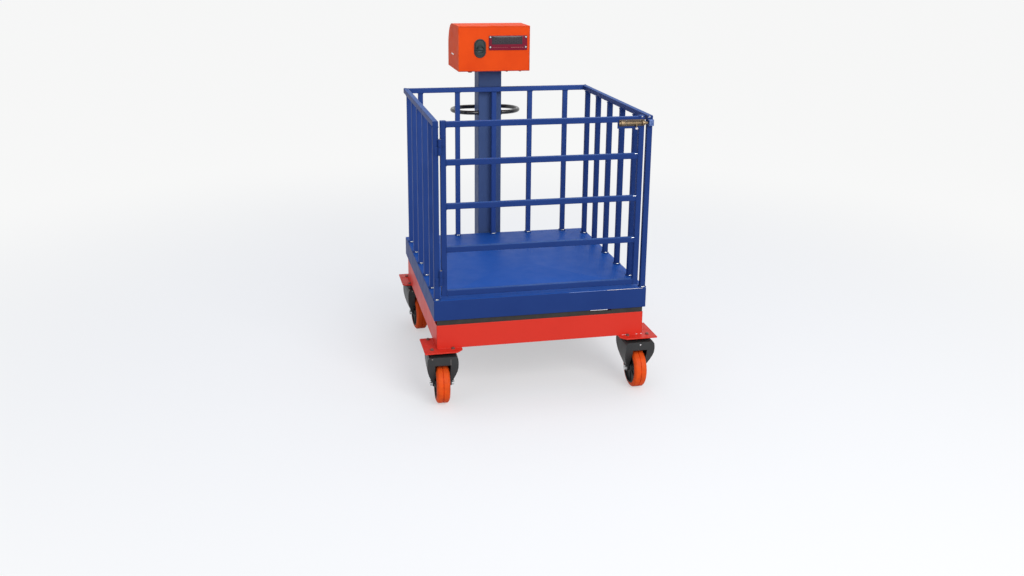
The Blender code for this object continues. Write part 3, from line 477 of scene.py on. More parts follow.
def soft_plate(outline: Array, thickness: float, edge: float, steps: int = 3) -> Array:
    """A plate on an outline with quarter rounds along both edges.

    The inset is edge (1 - sin t) going up from the foot and edge (1 - cos t) at the top.

    Args:
        outline: An array of n by 2.
        thickness: The plate's height.
        edge: The edges' radius.
        steps: How many spans each round has.

    Returns:
        A grid whose first and last rings are the rims of the flat faces.
    """
    t = np.linspace(0.0, np.pi / 2, steps + 1)
    out, back = edge * (1 - np.sin(t)), edge * (1 - np.cos(t))
    return layers(outline, np.concatenate([out, back]),
                  np.concatenate([back, thickness - out]))


def turned(profile: Array | list, sides: int) -> Array:
    """A surface of revolution about +Z: (r cos a, r sin a, h) for each (r, h)."""
    profile = np.asarray(profile, float)
    return lifted(profile[:, None, :1] * circle(sides)[None], profile[:, None, 1:])


def swept(path: Array, section: Array, up: Point, closed: bool = False,
          scale: Array | None = None) -> Array:
    """Carries a flat section along a path, square to it.

    Each point is path + a side + b lift, where side is tangent x up and lift completes it.

    Args:
        path: An array of n by 3.
        section: An array of m by 2, of (a, b).
        up: A direction that the path never runs along.
        closed: Whether the path ends where it starts.
        scale: The section's size at each path point.

    Returns:
        A grid of n by m by 3.
    """
    if closed:
        tangent = np.roll(path, -1, axis=0) - np.roll(path, 1, axis=0)
    else:
        tangent = np.gradient(path, axis=0)
    tangent /= np.linalg.norm(tangent, axis=-1, keepdims=True)
    side = np.cross(tangent, np.asarray(up, float))
    side /= np.linalg.norm(side, axis=-1, keepdims=True)
    lift = np.cross(side, tangent)
    size = np.ones(len(path)) if scale is None else scale
    shape = section[None] * size[:, None, None]
    return path[:, None] + shape[..., :1] * side[:, None] + shape[..., 1:] * lift[:, None]


def square_tube(start: Point, end: Point, first: Point = RIGHT,
                skews: tuple[float, float] = (0.0, 0.0)) -> Array:
    """A closed square tube whose flats shade flat.

    The section is a rounded square with a point just inside the end of each flat. The rings
    at each end shrink by a quarter round, and a skew of k lifts a point by k a, where a is its
    first coordinate, which cuts the end at a mitre.

    Args:
        start: The middle of its first end.
        end: The middle of its second end.
        first: The direction of the section's first coordinate.
        skews: The mitre of each end.

    Returns:
        A grid for Shell.solid.
    """
    corner, edge, hold, steps = 0.0028, 0.0006, 0.0005, 4
    start, end = np.asarray(start, float), np.asarray(end, float)
    length = float(np.linalg.norm(end - start))
    axis = (end - start) / length
    arcs = rounded_box(TUBE, TUBE, corner, steps).reshape(4, steps + 1, 2)
    turn = np.arange(4) * np.pi / 2
    before = arcs[:, 0] - hold * np.stack([-np.sin(turn), np.cos(turn)], axis=-1)
    after = arcs[:, -1] - hold * np.stack([np.cos(turn), np.sin(turn)], axis=-1)
    outline = np.concatenate([before[:, None], arcs, after[:, None]], axis=1).reshape(-1, 2)
    t = np.linspace(0.0, np.pi / 2, 4)
    insets = np.concatenate([[edge + hold], edge * (1 - np.sin(t)), [0.0]])
    rises = np.concatenate([[0.0], edge * (1 - np.cos(t)), [edge + hold]])
    low = layers(outline, insets, rises)
    high = layers(outline, insets[::-1], length - rises[::-1])
    low[..., 2] += skews[0] * low[..., 0]
    high[..., 2] += skews[1] * high[..., 0]
    across = np.asarray(first, float)
    stand = np.stack([across, np.cross(axis, across), axis], axis=1)
    return np.concatenate([low, high]) @ stand.T + start


def facing(shape: Array, at: Point, face: Face = Face.FRONT) -> Array:
    """Stands a shape that was made flat upright at a point, facing one way."""
    return shape @ np.array(face.value, float) + np.asarray(at, float)


def placed(grid: Array, at: Point, axis: Point = UP, spin: float = 0.0) -> Array:
    """Stands a grid that was made about +Z on a point, along an axis.

    Args:
        grid: Points whose last dimension is 3.
        at: Where the grid's origin goes.
        axis: Where its +Z points.
        spin: A turn about that axis first, in radians.

    Returns:
        The grid in its place.
    """
    z = np.asarray(axis, float) / np.linalg.norm(axis)
    guide = np.array([0.0, 0.0, 1.0]) if abs(z[2]) < 0.9 else np.array([0.0, 1.0, 0.0])
    x = np.cross(guide, z)
    x /= np.linalg.norm(x)
    y = np.cross(z, x)
    c, s = math.cos(spin), math.sin(spin)
    turn = np.stack([c * x + s * y, c * y - s * x, z], axis=1)
    return grid @ turn.T + np.asarray(at, float)


@dataclass
class Shell:
    """Gathers surface patches and small fixings, and makes them one mesh object.

    Attributes:
        points: The patches' points, an array for each.
        faces: The numbers of each face's corners.
        count: How many points there are.
    """

    points: list[Array] = field(default_factory=list)
    faces: list[list[int]] = field(default_factory=list)
    count: int = 0

    def patch(self, grid: Array, along: bool = False) -> "Shell":
        """Adds a grid, whose second direction closes on itself, as quads.

        Args:
            grid: A grid of n by m by 3.
            along: Whether its first direction closes on itself too.

        Returns:
            This shell.
        """
        n, m = grid.shape[:2]
        u, v = np.meshgrid(np.arange(n if along else n - 1), np.arange(m), indexing="ij")
        up, vp = (u + 1) % n, (v + 1) % m
        quads = np.stack([u * m + v, u * m + vp, up * m + vp, up * m + v], axis=-1)
        self.faces += (quads.reshape(-1, 4) + self.count).tolist()
        self.points.append(grid.reshape(-1, 3))
        self.count += n * m
        return self

    def lid(self, ring: Array) -> "Shell":
        """Closes a ring with a fan about its middle.

        Args:
            ring: An array of n by 3.

        Returns:
            This shell.
        """
        n = len(ring)
        i = np.arange(n)
        fan = np.stack([i, (i + 1) % n, np.full(n, n)], axis=-1)
        self.faces += (fan + self.count).tolist()
        self.points.append(np.concatenate([ring, ring.mean(axis=0, keepdims=True)]))
        self.count += n + 1
        return self

    def solid(self, grid: Array) -> "Shell":
        """Adds a grid with a lid on each end."""
        return self.patch(grid).lid(grid[0]).lid(grid[-1])

    def lathe(self, profile: Array | list, sides: int, at: Point, axis: Point = UP,
              along: bool = False) -> "Shell":
        """Adds a profile of (radius, height) turned about an axis through a point."""
        return self.patch(placed(turned(profile, sides), at, axis), along)

    def hex_bolt(self, at: Point, axis: Point, across: float, height: float,
                 washer: float = 0.0, spin: float = 0.0) -> None:
        """Adds a hexagon head on a washer, its top corners cut by a cone.

        Args:
            at: The middle of its seat.
            axis: The way that its head points.
            across: The size across its flats.
            height: The head's height.
            washer: The washer's radius, or 0 for none.
            spin: A turn about its axis, in radians.
        """
        rise = 0.0016 if washer else 0.0
        if washer:
            self.lathe([[washer, 0.0], [washer, rise * 0.7], [washer - 0.0005, rise],
                        [0.0, rise]], 28, at, axis)
        corner = across / 2 / math.cos(math.pi / 6)
        steps = 6
        ring = np.repeat(circle(6, corner), steps, axis=0)
        ahead = np.repeat(circle(6, corner, math.pi / 3), steps, axis=0)
        blend = np.tile(np.arange(steps) / steps, 6)[:, None]
        flats = ring * (1 - blend) + ahead * blend
        past_flat = np.linalg.norm(flats, axis=-1, keepdims=True) - across / 2
        wall = lifted(flats, rise + height - past_flat * 0.55 - 0.12 * height)
        crown = lifted(circle(6 * steps, across / 2 * 0.94), rise + height)
        self.solid(placed(np.stack([lifted(flats, rise), wall, crown]), at, axis, spin))

    def pan_screw(self, at: Point, axis: Point, radius: float) -> None:
        """Adds a domed screw head with a round driver recess.

        Args:
            at: The middle of its seat.
            axis: The way that its head points.
            radius: The head's radius.
        """
        t = np.linspace(0.0, np.pi / 2 * 0.72, 5)
        dome = radius * np.stack([np.cos(t), 0.62 * np.sin(t)], axis=-1)
        top = dome[-1, 1]
        well = [[radius * 0.30, top + 0.02 * radius], [radius * 0.24, top - 0.3 * radius],
                [0.0, top - 0.36 * radius]]
        self.lathe(np.concatenate([[[radius, -0.0004]], dome, well]), 24, at, axis)

    def bead(self, loop: Array, up: Point, radius: float, closed: bool = True,
             ripple: float = 0.14, step: float = 0.0028) -> None:
        """Adds a weld's bead along a path, with the ripples of its laid drops.

        The bead's radius is radius (1 + ripple cos(2 pi s / step)) at distance s.

        Args:
            loop: The path, an array of n by 3.
            up: A direction that the path never runs along.
            radius: The bead's mean radius.
            closed: Whether the path closes on itself.
            ripple: The ripple's share of the radius.
            step: The distance from drop to drop.
        """
        ends = np.concatenate([loop, loop[:1]]) if closed else loop
        lengths = np.linalg.norm(np.diff(ends, axis=0), axis=-1)
        along = np.concatenate([[0.0], np.cumsum(lengths)])
        count = max(8, int(along[-1] / step * 4))
        where = np.linspace(0.0, along[-1], count, endpoint=not closed)
        path = np.stack([np.interp(where, along, ends[:, i]) for i in range(3)], axis=-1)
        size = 1 + ripple * np.cos(2 * np.pi * where / step)
        if closed:
            self.patch(swept(path, circle(7, radius), up, True, size), along=True)
            return
        size *= np.clip(np.minimum(where, along[-1] - where) / (1.5 * radius) + 0.35, 0, 1)
        self.solid(swept(path, circle(7, radius), up, False, size))

    def seam(self, start: Point, end: Point, radius: float, up: Point = UP,
             **drops: float) -> None:
        """Adds a straight bead from one point to another."""
        self.bead(np.linspace(start, end, 20), up, radius, closed=False, **drops)

    def mesh(self, name: str) -> bpy.types.Mesh:
        """Makes one mesh of the patches, with doubles merged and normals outwards.

        Args:
            name: The mesh's name.

        Returns:
            The mesh.
        """
        mesh = bpy.data.meshes.new(name)
        mesh.from_pydata(np.concatenate(self.points).tolist(), [], self.faces)
        work = bmesh.new()
        work.from_mesh(mesh)
        bmesh.ops.remove_doubles(work, verts=work.verts, dist=1e-6)
        bmesh.ops.recalc_face_normals(work, faces=work.faces)
        work.to_mesh(mesh)
        work.free()
        return mesh

    def make(self, name: str, coat: Coat, replaces: tuple[str, ...] = (),
             body: str = Body.FRAME.value, sharp: float = 38.0) -> None:
        """Turns the patches into a piece of the model, as add_piece says."""
        add_piece(name, self.mesh(name), coat, replaces, body, sharp)


def add_piece(name: str, mesh: bpy.types.Mesh, coat: Coat, replaces: tuple[str, ...],
              body: str, sharp: float) -> bpy.types.Object:
    """Makes a mesh a piece that rides on a body.

    Args:
        name: The piece's name.
        mesh: Its mesh, already in place.
        coat: Its finish.
        replaces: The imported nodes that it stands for.
        body: The body that it rides on.
        sharp: Edges over this many degrees stay sharp.

    Returns:
        The piece.
    """
    mesh.materials.clear()
    mesh.materials.append(coat.material)
    mesh.shade_smooth()
    mesh.set_sharp_from_angle(angle=math.radians(sharp))
    made = bpy.data.objects.new(name, mesh)
    bpy.context.scene.collection.objects.link(made)
    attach(made, body)
    coat.slot
    if replaces:
        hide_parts(*replaces)
    LOG.info("made %s on %s: %d faces", name, body, len(mesh.polygons))
    return made


def refined(node: str, coat: Coat, edge_mm: float, body: str = Body.FRAME.value,
            angle: float = 34.0) -> None:
    """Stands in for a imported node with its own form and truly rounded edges.

    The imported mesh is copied, its loose triangles are merged and its flat faces cleaned, and
    a Bevel rounds each edge that turns by more than the angle.

    Args:
        node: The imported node.
        coat: The finish.
        edge_mm: The width of the rounding in millimetres.
        body: The body that it rides on.
        angle: The least turn of an edge that is rounded, in degrees.
    """
    mesh = frame["nodes"][node].data.copy()
    work = bmesh.new()
    work.from_mesh(mesh)
    bmesh.ops.remove_doubles(work, verts=work.verts, dist=1e-6)
    bmesh.ops.dissolve_limit(work, angle_limit=math.radians(1.0), verts=work.verts,
                             edges=work.edges)
    work.to_mesh(mesh)
    work.free()
    made = add_piece(f"{node}_fine", mesh, coat, (node,), body, 40.0)
    bevel = made.modifiers.new("rounded edges", "BEVEL")
    bevel.width = edge_mm * MM
    bevel.segments = 2
    bevel.limit_method = "ANGLE"
    bevel.angle_limit = math.radians(angle)
    bevel.use_clamp_overlap = True
    bevel.harden_normals = False
    made.modifiers.new("even shading", "WEIGHTED_NORMAL").keep_sharp = True


def frame_joint(name: str) -> tuple[Array, Array]:
    """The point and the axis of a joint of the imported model."""
    joint = next(j for j in frame["joints"] if j["name"] == name)
    return np.array(joint.get("pos_m") or (0, 0, 0), float), np.array(joint["axis"], float)


# The sub-assemblies
@dataclass
class Scale:
    """The main sizes that the sub-assemblies share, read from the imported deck.

    Attributes:
        left: The deck's left edge along X.
        right: Its right edge.
        front: Its front edge along Y.
        back: Its back edge.
        top: Its top, under its cover sheet.
        post_inset: How far the posts stand in from the sides.
        gate_inset: How far the posts and the gate stand in from the front.
    """

    left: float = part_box("deck_pan")[0].x
    right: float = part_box("deck_pan")[1].x
    front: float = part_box("deck_pan")[0].y
    back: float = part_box("deck_pan")[1].y
    top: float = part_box("deck_pan")[1].z - 0.0006
    post_inset: float = 0.0025
    gate_inset: float = 0.006

    @property
    def gate_face(self) -> float:
        """The front of the posts and the gate along Y."""
        return self.front + self.gate_inset

    @property
    def gate_y(self) -> float:
        """The middle of the posts and the gate along Y."""
        return self.gate_face + TUBE / 2

    def post_x(self, side: int) -> float:
        """The middle of the post on one side along X."""
        return side * (self.right - self.post_inset - TUBE / 2)


SCALE = Scale()


@dataclass
class Hinges:
    """The gate's two hinges: a barrel in two halves, with a leaf on each, and a pin.

    Attributes:
        heights: Where the halves meet, above the deck.
        x: The barrels' place along X.
        radius: The barrels' radius.
        half: Each half's length.
        gap: The gap between the halves.
        leaf: Each leaf's width.
        pin: The radius of the pin's heads.
    """

    heights: tuple[float, ...] = (0.085, 0.558)
    x: float = -0.3742
    radius: float = 0.0060
    half: float = 0.028
    gap: float = 0.0005
    leaf: float = 0.018
    pin: float = 0.0046

    def __post_init__(self) -> None:
        """Reads the barrels' place along Y from the gate's joint."""
        self.y = float(frame_joint("gate_swing")[0][1])

    def halves(self, shell: Shell, upper: bool) -> None:
        """Adds the halves of one leaf, each with rounded rims.

        Args:
            shell: Where they are added.
            upper: Whether they are the gate's, which sit on the post's.
        """
        r, h = self.radius, self.half
        rim = [[0.0, 0.0], [r - 0.0012, 0.0], [r - 0.0004, 0.0003], [r, 0.0011],
               [r, h - 0.0011], [r - 0.0004, h - 0.0003], [r - 0.0012, h], [0.0, h]]
        plate = soft_plate(rounded_box(self.leaf - 0.001, h - 0.002, 0.0025), 0.0038, 0.0006)
        middle = self.x + (1 if upper else -1) * (self.leaf + 0.001) / 2
        for height in self.heights:
            foot = SCALE.top + height + (self.gap if upper else -h)
            shell.lathe(rim, 32, (self.x, self.y, foot))
            shell.solid(facing(plate, (middle, SCALE.gate_face + 0.0008, foot + h / 2)))

    def pin_heads(self) -> None:
        """Caps each pin above and below: r cos t across, h sin t along."""
        shell = Shell()
        t = np.linspace(0, np.pi / 2, 6)
        dome = np.stack([self.pin * np.cos(t), 0.0024 * np.sin(t)], axis=-1)
        profile = np.concatenate([[[self.pin, -0.0002]], dome])
        for height in self.heights:
            for rise, way in ((self.half + self.gap, 1), (-self.half, -1)):
                shell.lathe(profile, 24, (self.x, self.y, SCALE.top + height + rise),
                            (0, 0, way))
        shell.make("hinge_pin_heads", Coat.DULL_ZINC)


@dataclass
class Cage:
    """The welded cage: its tubes, and the beads that hold them.

    Attributes:
        foot_bead: The radius of the beads round the tubes' feet.
        head_bead: The same under the rails.
        bare_bead: The radius of the short bare beads.
        bare_reach: Half their length, at the sides and at the back.
    """

    foot_bead: float = 0.0032
    head_bead: float = 0.00168
    bare_bead: float = 0.0034
    bare_reach: tuple[float, float] = (0.0065, 0.0080)

    def __post_init__(self) -> None:
        """Finds the middle of each bar and post; the posts' boxes hold their hinges too."""
        self.places = {}
        for name in sorted(frame["nodes"]):
            if "_bar_" in name:
                low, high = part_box(name)
                self.places[name] = ((low.x + high.x) / 2, (low.y + high.y) / 2)
            elif name.endswith("_post"):
                self.places[name] = (SCALE.post_x(-1 if "hinge" in name else 1), SCALE.gate_y)

    def build(self) -> None:
        """Makes the tubes and lays the weld beads."""
        self.uprights()
        self.rails()
        feet, heads = Shell(), Shell()
        half = TUBE / 2 + 0.0004
        rail_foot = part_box("cage_back_rail")[0].z
        for x, y in self.places.values():
            outline = rounded_box(2 * half, 2 * half, 0.003) + np.array([x, y])
            feet.bead(lifted(outline, SCALE.top + 0.0014), UP, self.foot_bead)
            heads.bead(lifted(outline, rail_foot - 0.0008), UP, self.head_bead)
        feet.make("bar_foot_welds", Coat.BLUE)
        heads.make("bar_head_welds", Coat.BLUE)
        self.mitre_welds()
        self.bare_welds()

    def uprights(self) -> None:
        """Makes each bar and post as a tube that stands in its node's place."""
        for name, (x, y) in self.places.items():
            low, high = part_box(name)
            shell = Shell().solid(square_tube((x, y, low.z), (x, y, high.z)))
            if name == "gate_hinge_post":
                Hinges().halves(shell, upper=False)
            # The back and left bars take the paler copy of the blue, which is painted light
            rubbed = name.startswith(("back", "left"))
            shell.make(f"{name}_tube", Coat.WORN if rubbed else Coat.BLUE, (name,))
        Hinges().pin_heads()

    def rails(self) -> None:
        """Makes the three top rails, mitred where they meet."""
        low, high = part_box("cage_back_rail")
        half = TUBE / 2
        y, z = (low.y + high.y) / 2, (low.z + high.z) / 2
        tube = square_tube((low.x + half, y, z), (high.x - half, y, z), (0, 1, 0), (-1.0, 1.0))
        # The back rail takes the paler copy of the blue, which is painted light
        Shell().solid(tube).make("back_rail_tube", Coat.WORN, ("cage_back_rail",))
        for side, word in ((-1, "left"), (1, "right")):
            low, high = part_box(f"cage_{word}_rail")
            x = (low.x + high.x) / 2
            tube = square_tube((x, low.y, z), (x, high.y - half, z), (side, 0, 0), (0.0, 1.0))
            Shell().solid(tube).make(f"{word}_rail_tube", Coat.BLUE, (f"cage_{word}_rail",))

    def mitre_welds(self) -> None:
        """Lays a bead over each mitre of the top rails, short of both its ends."""
        shell = Shell()
        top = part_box("cage_back_rail")[1].z
        for side, rail in ((-1, "cage_left_rail"), (1, "cage_right_rail")):
            low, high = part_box(rail)
            outer = low.x if side < 0 else high.x
            start = np.array([outer, high.y, top])
            end = np.array([outer - side * TUBE, high.y - TUBE, top])
            shell.seam(start * 0.94 + end * 0.06, start * 0.06 + end * 0.94, 0.0016)
        shell.make("rail_mitre_welds", Coat.BLUE)

    def bare_welds(self) -> None:
        """Lays the short bare beads that catch the light, and the bare end of the right rail."""
        shell = Shell()
        z = SCALE.top + 0.0035
        for x, y in self.places.values():
            front = y - TUBE / 2 - 0.0016
            reach = self.bare_reach[0 if abs(x) > 0.37 else 1]
            shell.seam((x - reach, front, z), (x + reach, front, z), self.bare_bead, ripple=0.2)
        low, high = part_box("cage_right_rail")
        ring = facing(lifted(circle(20, 0.0026)), (0.3842, low.y - 0.0002, high.z - 0.0045))
        shell.bead(ring, (0, 1, 0), 0.0011)
        shell.make("bare_welds", Coat.ZINC)


@dataclass
class Gate:
    """The swing gate: its welded tubes, the latch's plate, and the beads.

    Attributes:
        rail_heights: The rails' middles, above the deck.
        left: The left stile's outer side along X.
        right: The right stile's outer side.
        foot: The stiles' feet, above the deck.
        head: The stiles' heads.
        plate_x: The latch's plate along X.
        plate_z: The latch's plate above the deck.
        hinge_welds: The beads on the left stile above and below the upper hinge.
    """

    rail_heights: tuple[float, ...] = (0.025, 0.187, 0.3445, 0.5010, 0.6350)
    left: float = -0.3708
    right: float = 0.3668
    foot: float = 0.015
    head: float = 0.648
    plate_x: tuple[float, float] = (0.266, 0.350)
    plate_z: tuple[float, float] = (0.603, 0.632)
    hinge_welds: tuple[tuple[float, float], ...] = ((0.589, 0.622), (0.546, 0.553))

    def build(self) -> None:
        """Makes the frame from its tubes, then its beads."""
        self.tubes()
        self.welds()

    def tubes(self) -> None:
        """Butts five rails between two stiles, and adds the latch's plate and the hinges."""
        shell = Shell()
        y = SCALE.gate_y
        for x in (self.left + TUBE / 2, self.right - TUBE / 2):
            shell.solid(square_tube((x, y, SCALE.top + self.foot),
                                    (x, y, SCALE.top + self.head)))
        for height in self.rail_heights:
            z = SCALE.top + height
            shell.solid(square_tube((self.left + TUBE - 0.001, y, z),
                                    (self.right - TUBE + 0.001, y, z), (0, 1, 0)))
        outline = rounded_box(self.plate_x[1] - self.plate_x[0],
                              self.plate_z[1] - self.plate_z[0], 0.002)
        shell.solid(facing(soft_plate(outline, 0.0037, 0.0006),
                           (sum(self.plate_x) / 2, SCALE.gate_face + 0.0040,
                            SCALE.top + sum(self.plate_z) / 2)))
        Hinges().halves(shell, upper=True)
        shell.make("gate_tubes", Coat.BLUE, ("gate_frame",), Body.GATE.value)

    def welds(self) -> None:
        """Lays a bead round the end of every rail, and up the stile by the upper hinge."""
        shell, bare = Shell(), Shell()
        half = TUBE / 2 + 0.0002
        front = SCALE.gate_y - half
        outline = lifted(rounded_box(2 * half, 2 * half, 0.003))
        for height in self.rail_heights:
            z = SCALE.top + height
            for x in (self.left + TUBE + 0.0002, self.right - TUBE - 0.0002):
                shell.bead(facing(outline, (x, SCALE.gate_y, z), Face.RIGHT), RIGHT, 0.0019)
            if height in self.rail_heights[1:4]:
                end = self.right - TUBE - 0.0008
                y, z = front + 0.0008, z + half - 0.0008
                bare.seam((end - 0.012, y, z), (end, y, z), 0.0013)
        x = self.left + 0.0012
        for low, high in self.hinge_welds:
            shell.seam((x, front, SCALE.top + low), (x, front, SCALE.top + high), 0.0022,
                       RIGHT, ripple=0.22, step=0.004)
        ring = facing(lifted(circle(12, 0.0016)), (self.right - TUBE / 2, front,
                                                   SCALE.top + self.head - 0.0035))
        bare.bead(ring, (0, 1, 0), 0.0012)
        shell.make("gate_welds", Coat.BLUE, body=Body.GATE.value)
        bare.make("gate_bare_welds", Coat.ZINC, body=Body.GATE.value)


@dataclass
class Latch:
    """The barrel bolt on the gate and its keeper on the post.

    Attributes:
        bore: The radius of the way through the straps.
        strap: The straps' outer radius.
        rod: The bolt's radius.
        straps: Where each strap starts and ends along X.
        stem_x: The stem's place along X.
    """

    bore: float = 0.0056
    strap: float = 0.0078
    rod: float = 0.0050
    straps: tuple[tuple[float, float], ...] = ((0.275, 0.291), (0.3545, 0.3652))
    stem_x: float = 0.334

    def __post_init__(self) -> None:
        """Finds the bolt's axis along Y and its height."""
        low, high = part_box("latch_bolt")
        self.start, self.length = low.x, high.x - low.x
        self.y, self.z = low.y + self.rod + 0.0005, high.z - self.rod

    def build(self) -> None:
        """Makes the base with its straps and screws, the bolt, and the keeper."""
        self.base()
        self.bolt()
        self.keeper()

    def strap_ring(self, start: float, end: float, wall_y: float) -> Array:
        """A saddle over the bolt: round in front, flat where it meets the base.

        The outer line is (r cos a, r sin a), held at the base's face behind; the inner is the
        bore's circle. Both ends are chamfered.

        Args:
            start: Where it starts along X.
            end: Where it ends.
            wall_y: The base's face.

        Returns:
            A grid that closes both ways.
        """
        ring = circle(40)
        outer = ring * self.strap
        outer[:, 0] = np.minimum(outer[:, 0] * np.where(ring[:, 0] > 0, 1.6, 1.0),
                                 wall_y - self.y)
        rim, wide = outer * np.array([0.97, 0.94]), ring * self.bore * 1.04
        rings = ((start, rim), (start + 0.0008, outer), (end - 0.0008, outer), (end, rim),
                 (end, wide), (start, wide))
        return np.stack([facing(lifted(flat), (x, self.y, self.z), Face.RIGHT)
                         for x, flat in rings])

    def base(self) -> None:
        """Makes the stamped base, its two straps and its screws."""
        low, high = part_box("latch_body")
        face = high.y - 0.002
        plate = soft_plate(rounded_box(high.x - low.x, high.z - low.z, 0.003), 0.002, 0.0006)
        plate = facing(plate, ((low.x + high.x) / 2, high.y, (low.z + high.z) / 2))
        Shell().solid(plate).make("latch_base", Coat.TARNISHED, ("latch_body",),
                                  Body.GATE.value)
        straps, screws = Shell(), Shell()
        for start, end in self.straps:
            straps.patch(self.strap_ring(start, end, face + 0.0004), along=True)
        straps.make("latch_straps", Coat.BRASS, body=Body.GATE.value)
        for x in (self.straps[0][1] + 0.006, self.straps[1][0] - 0.006):
            for z in (low.z + 0.0042, high.z - 0.0042):
                screws.pan_screw((x, face, z), FORWARD, 0.0027)
        screws.make("latch_screws", Coat.DULL_ZINC, body=Body.GATE.value)

    def bolt(self) -> None:
        """Turns the bolt with its stem, and the knob."""
        r = self.rod
        profile = [[0, 0], [r - 0.001, 0], [r, 0.001], [r, self.length - 0.0025],
                   [r - 0.0015, self.length - 0.0004], [0, self.length]]
        shell = Shell().lathe(profile, 36, (self.start, self.y, self.z), RIGHT)
        t = np.linspace(-np.pi / 2, np.pi / 2, 13)
        ball = np.stack([0.0058 * np.cos(t), 0.0195 + 0.0049 * np.sin(t)], axis=-1)
        neck = [[0.0, 0.0], [0.0031, 0.0], [0.0031, 0.006], [0.0026, 0.009], [0.0028, 0.0135]]
        at = (self.stem_x, self.y, self.z)
        shell.lathe(neck, 24, at, (0, 0, -1))
        knob = Shell().lathe(ball, 28, at, (0, 0, -1))
        # The knob's near-white zinc paints its glint
        knob.make("latch_knob", Coat.PALE_ZINC, body=Body.BOLT.value)
        shell.make("latch_rod", Coat.BRASS, ("latch_bolt",), Body.BOLT.value)

    def keeper(self) -> None:
        """Bends the keeper's hoop round a square way through, its outer ends chamfered."""
        low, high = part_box("latch_keeper")
        middle = np.array([(low.y + high.y) / 2, (low.z + high.z) / 2])
        outer = rounded_box(high.y - low.y, high.z - low.z, 0.003) + middle
        inner = rounded_box(0.0124, 0.0136, 0.0015) + np.array([self.y, self.z])
        rim = outer + (outer.mean(axis=0) - outer) * 0.06
        rings = ((low.x, rim), (low.x + 0.0008, outer), (high.x - 0.0008, outer),
                 (high.x, rim), (high.x, inner), (low.x, inner))
        grid = np.stack([facing(lifted(flat), (x, 0, 0), Face.RIGHT) for x, flat in rings])
        # The keeper's bright blotches are rubbed steel and also painted highlights
        Shell().patch(grid, along=True).make("keeper_hoop", Coat.RUBBED, ("latch_keeper",))


@dataclass
class Chassis:
    """The red chassis: folded beams, the ears that carry the casters, and their bolts.

    Attributes:
        bolt_x: How far the ears' bolts stand from the swivel along X.
        bolt_y: The same along Y.
        ear_t: The ears' thickness.
        tacks: The bare tacks on the right ear: their place from the right, and their radius.
        strip: The rubber strip's stretches along X, each with the gap under the deck.
    """

    bolt_x: float = 0.0385
    bolt_y: float = 0.052
    ear_t: float = 0.0045
    tacks: tuple[tuple[float, float], ...] = (
        (0.088, 0.0010), (0.078, 0.0011), (0.066, 0.0009), (0.034, 0.0017), (0.016, 0.0016))
    strip: tuple[tuple[float, float, float], ...] = (
        (-0.389, 0.186, 0.0016), (0.186, 0.268, 0.0068), (0.268, 0.389, 0.0016))

    def build(self) -> None:
        """Rounds the folds, and adds the ears' bolts, the welds and the dark rubber strip."""
        for name in ("front_channel", "rear_channel", "left_rail", "right_rail"):
            refined(f"chassis_{name}", Coat.RED, 1.2)
        self.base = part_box("chassis_front_channel")[0].z
        self.bolts()
        self.welds()
        self.seal()

    def bolts(self) -> None:
        """Puts four bolts with nuts through each ear."""
        bolts, nuts = Shell(), Shell()
        for corner in Corner:
            at, _ = frame_joint(f"swivel_{corner.value}")
            for sx in (-1, 1):
                for sy in (-1, 1):
                    x, y = at[0] + sx * self.bolt_x, at[1] + sy * self.bolt_y
                    bolts.hex_bolt((x, y, self.base + 0.0002), UP, 0.0105, 0.0042, 0.0070,
                                   0.4 * sx + 0.3 * sy)
                    nuts.hex_bolt((x, y, self.base - self.ear_t - 0.0053), (0, 0, -1), 0.0125,
                                  0.0060, spin=0.7 * sx - 0.2 * sy)
        bolts.make("ear_bolts", Coat.OVERSPRAYED)
        nuts.make("ear_nuts", Coat.DULL_ZINC)

    def welds(self) -> None:
        """Lays the beads where each ear meets the beams, and the bare tacks."""
        shell, bare = Shell(), Shell()
        z = self.base + 0.001
        for side in (-1, 1):
            outer = side * (SCALE.right - 0.009)
            x = outer + side * 0.001
            for start, end in ((SCALE.front + 0.006, SCALE.front + 0.112),
                               (SCALE.front + 0.752, SCALE.back - 0.006)):
                shell.seam((x, start, z), (x, end, z), 0.0024)
            start, end = sorted((outer - side * 0.002, outer - side * 0.088))
            shell.seam((start, SCALE.front + 0.003, z), (end, SCALE.front + 0.003, z), 0.0022)
        shell.make("ear_welds", Coat.RED)
        # The tacks' near-white zinc paints their glints
        for from_right, radius in self.tacks:
            x, y = SCALE.right - from_right, SCALE.front + 0.0020
            bare.seam((x, y, self.base + 0.0020), (x + 0.0065, y, self.base + 0.0028), radius)
        bare.make("bare_tacks", Coat.PALE_ZINC)

    def seal(self) -> None:
        """Stands a dark rubber strip on the front beam, lower over one stretch at the right, that also paints the
        shade under the skirt.
        """
        shell = Shell()
        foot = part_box("chassis_front_channel")[1].z - 0.0002
        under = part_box("deck_pan")[0].z
        for start, end, gap in self.strip:
            plate = soft_plate(rounded_box(end - start, 0.0032, 0.0006), under - gap - foot,
                               0.0005)
            shell.solid(plate + np.array([(start + end) / 2, SCALE.front + 0.0065, foot]))
        shell.make("rubber_strip_and_shade", Coat.RUBBER)


